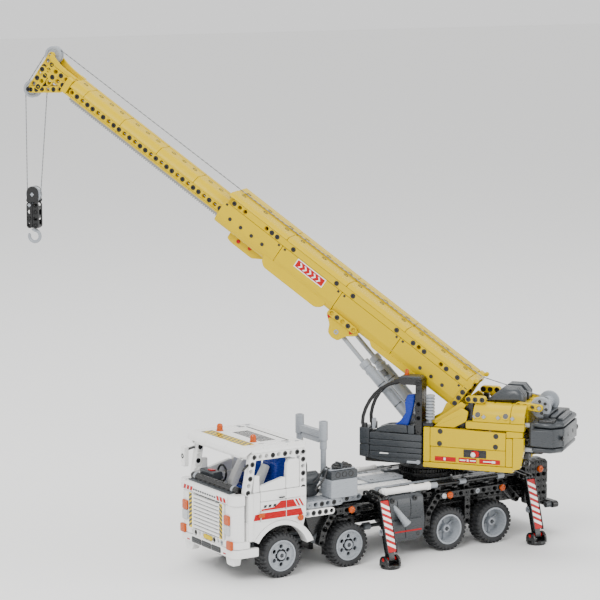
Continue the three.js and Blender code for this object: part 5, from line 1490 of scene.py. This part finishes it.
def pulley_wheel(groove, flange, half, web_holes):
    """A moulded pulley: two thin flanges, a deep groove and a lightened web."""
    profile = [(2.4, -half), (4.2, -half), (4.2, -half + 0.8), (groove - 1.4, -half + 0.8),
               (groove - 1, -half), (flange - 0.4, -half),
               (flange, -half + 0.4), (flange, -1.7), (groove, -0.8), (groove, 0.8), (flange, 1.7),
               (flange, half - 0.4),
               (flange - 0.4, half), (groove - 1, half), (groove - 1.4, half - 0.8), (4.2, half - 0.8),
               (4.2, half), (2.4, half)]
    shapes = [turned(profile, sides=40)]
    for k in range(web_holes):
        place = Matrix.Rotation(2 * math.pi * k / web_holes, 4, "Y")
        rib = [(-0.5, 4), (0.5, 4), (0.5, groove - 1.2), (-0.5, groove - 1.2)]
        shapes.append(moved(plate(rib, -half + 0.2, half - 0.2, edge=0.1), place))
    return shapes


for name, at, groove, flange, half in (("upper_pulley", boom @ Matrix.Translation((HEAD, 0, UPPER_PULLEY)),
                                        8.6, 10.5, 4.5),
                                       ("lower_pulley", boom @ Matrix.Translation((HEAD, 0, LOWER_PULLEY)),
                                        8.6, 10.5, 4.5),
                                       ("hook_pulley", upper @ Matrix.Translation((HOOK[0], 0, HOOK[1])),
                                        7.8, 9.5, 3)):
    assemble({"light_grey": pulley_wheel(groove, flange, half, 6)}, name, name, at, (name,))

# ---- rope anchor and hook block ---------------------------------------------------------------
# Two black links hang from the lower axle and hold the rope's end. The block is two black beams
# either side of its pulley, over a grey hook that turns on its shank.
hanger = defaultdict(list)
low_axle = upper.inverted() @ boom @ Vector((HEAD, 0, LOWER_PULLEY))
for side in (-1, 1):
    beam(hanger, "black", (ANCHOR[0], side * 10.5, ANCHOR[1]), (low_axle.x, side * 10.5, low_axle.z),
         "bok"[: max(2, round(abs(low_axle.x - ANCHOR[0]) / MODULE) + 1)], width=2, height=7)
hanger["black"].append(rod((ANCHOR[0], 0, ANCHOR[1]), "y", 1.8, 22))
hanger["light_grey"] = [turned([(1.8, -3), (2.8, -3), (2.8, 3), (1.8, 3)], (ANCHOR[0], 0, ANCHOR[1]),
                               sides=16)]
assemble(hanger, "rope_anchor", "rope_hanger", upper, ("rope_anchor",))

block_kit = defaultdict(list)
for side in (-1, 1):
    beam(block_kit, "black", (HOOK[0] - 4, side * 4.7, 348), (HOOK[0] - 4, side * 4.7, 372), "bobo",
         width=2.6)
    beam(block_kit, "black", (HOOK[0] + 4, side * 4.7, 348), (HOOK[0] + 4, side * 4.7, 372), "obog",
         width=2.6)
    cheek = [(HOOK[0] + 7.4 * math.cos(a), HOOK[1] + 2.4 + 7.4 * math.sin(a))
             for a in [math.pi * k / 10 for k in range(11)]]
    block_kit["black"].append(plate([(HOOK[0] + 7.4, 376)] + cheek + [(HOOK[0] - 7.4, 376)],
                                    *outward(side, 3.6, 6), edge=0.4))
    stud_row(block_kit, "light_grey", [(HOOK[0], side * 6.1, HOOK[1])], across=(0, side, 0), shape=axle_end)
    stud_row(block_kit, "black", [(HOOK[0] - 5, side * 6.1, 378), (HOOK[0] + 5, side * 6.1, 378)],
             across=(0, side, 0))
block_kit["black"] += [block((HOOK[0] - 7.4, HOOK[0] + 7.4), (-3.6, 3.6), (z, z + 5), "y", 0.4, 1)
                       for z in (344.4, 356, 366)]
block_kit["black"].append(rod((HOOK[0], 0, HOOK[1]), "y", 1.8, 12))
assemble(block_kit, "hook_block", "hook_block", upper, ("hook_block",))

claw = [(HOOK[0], 0, 343.5), (HOOK[0], 0, 341.2)] + [(HOOK[0] + 7 * math.cos(a), 0, 334.4 + 7 * math.sin(a))
        for a in [math.radians(112 + 11.5 * k) for k in range(23)]]
tip = claw[-1]
hook = {"light_grey": [along(claw, 2, 12), turned([(0, 341), (3.2, 341), (3.6, 341.6), (3.6, 343),
                                                   (0, 343.6)], (HOOK[0], 0, 0), "z", 18),
        moved(turned([(0, 0), (2, 0), (1.2, 2), (0.5, 2.6), (0, 2.7)], axis="z", sides=12),
              Matrix.Translation(tip) @ Matrix.Rotation(0.15, 4, "Y"))]}
assemble(hook, "hook", "hook", upper, ("hook",))

# The toothed rack and its pinion keep their shapes and take the same grey moulding.
for name in ("extension_rack", "extension_pinion"):
    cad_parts[name].material_slots[0].material = STOCK["light_grey"][0]
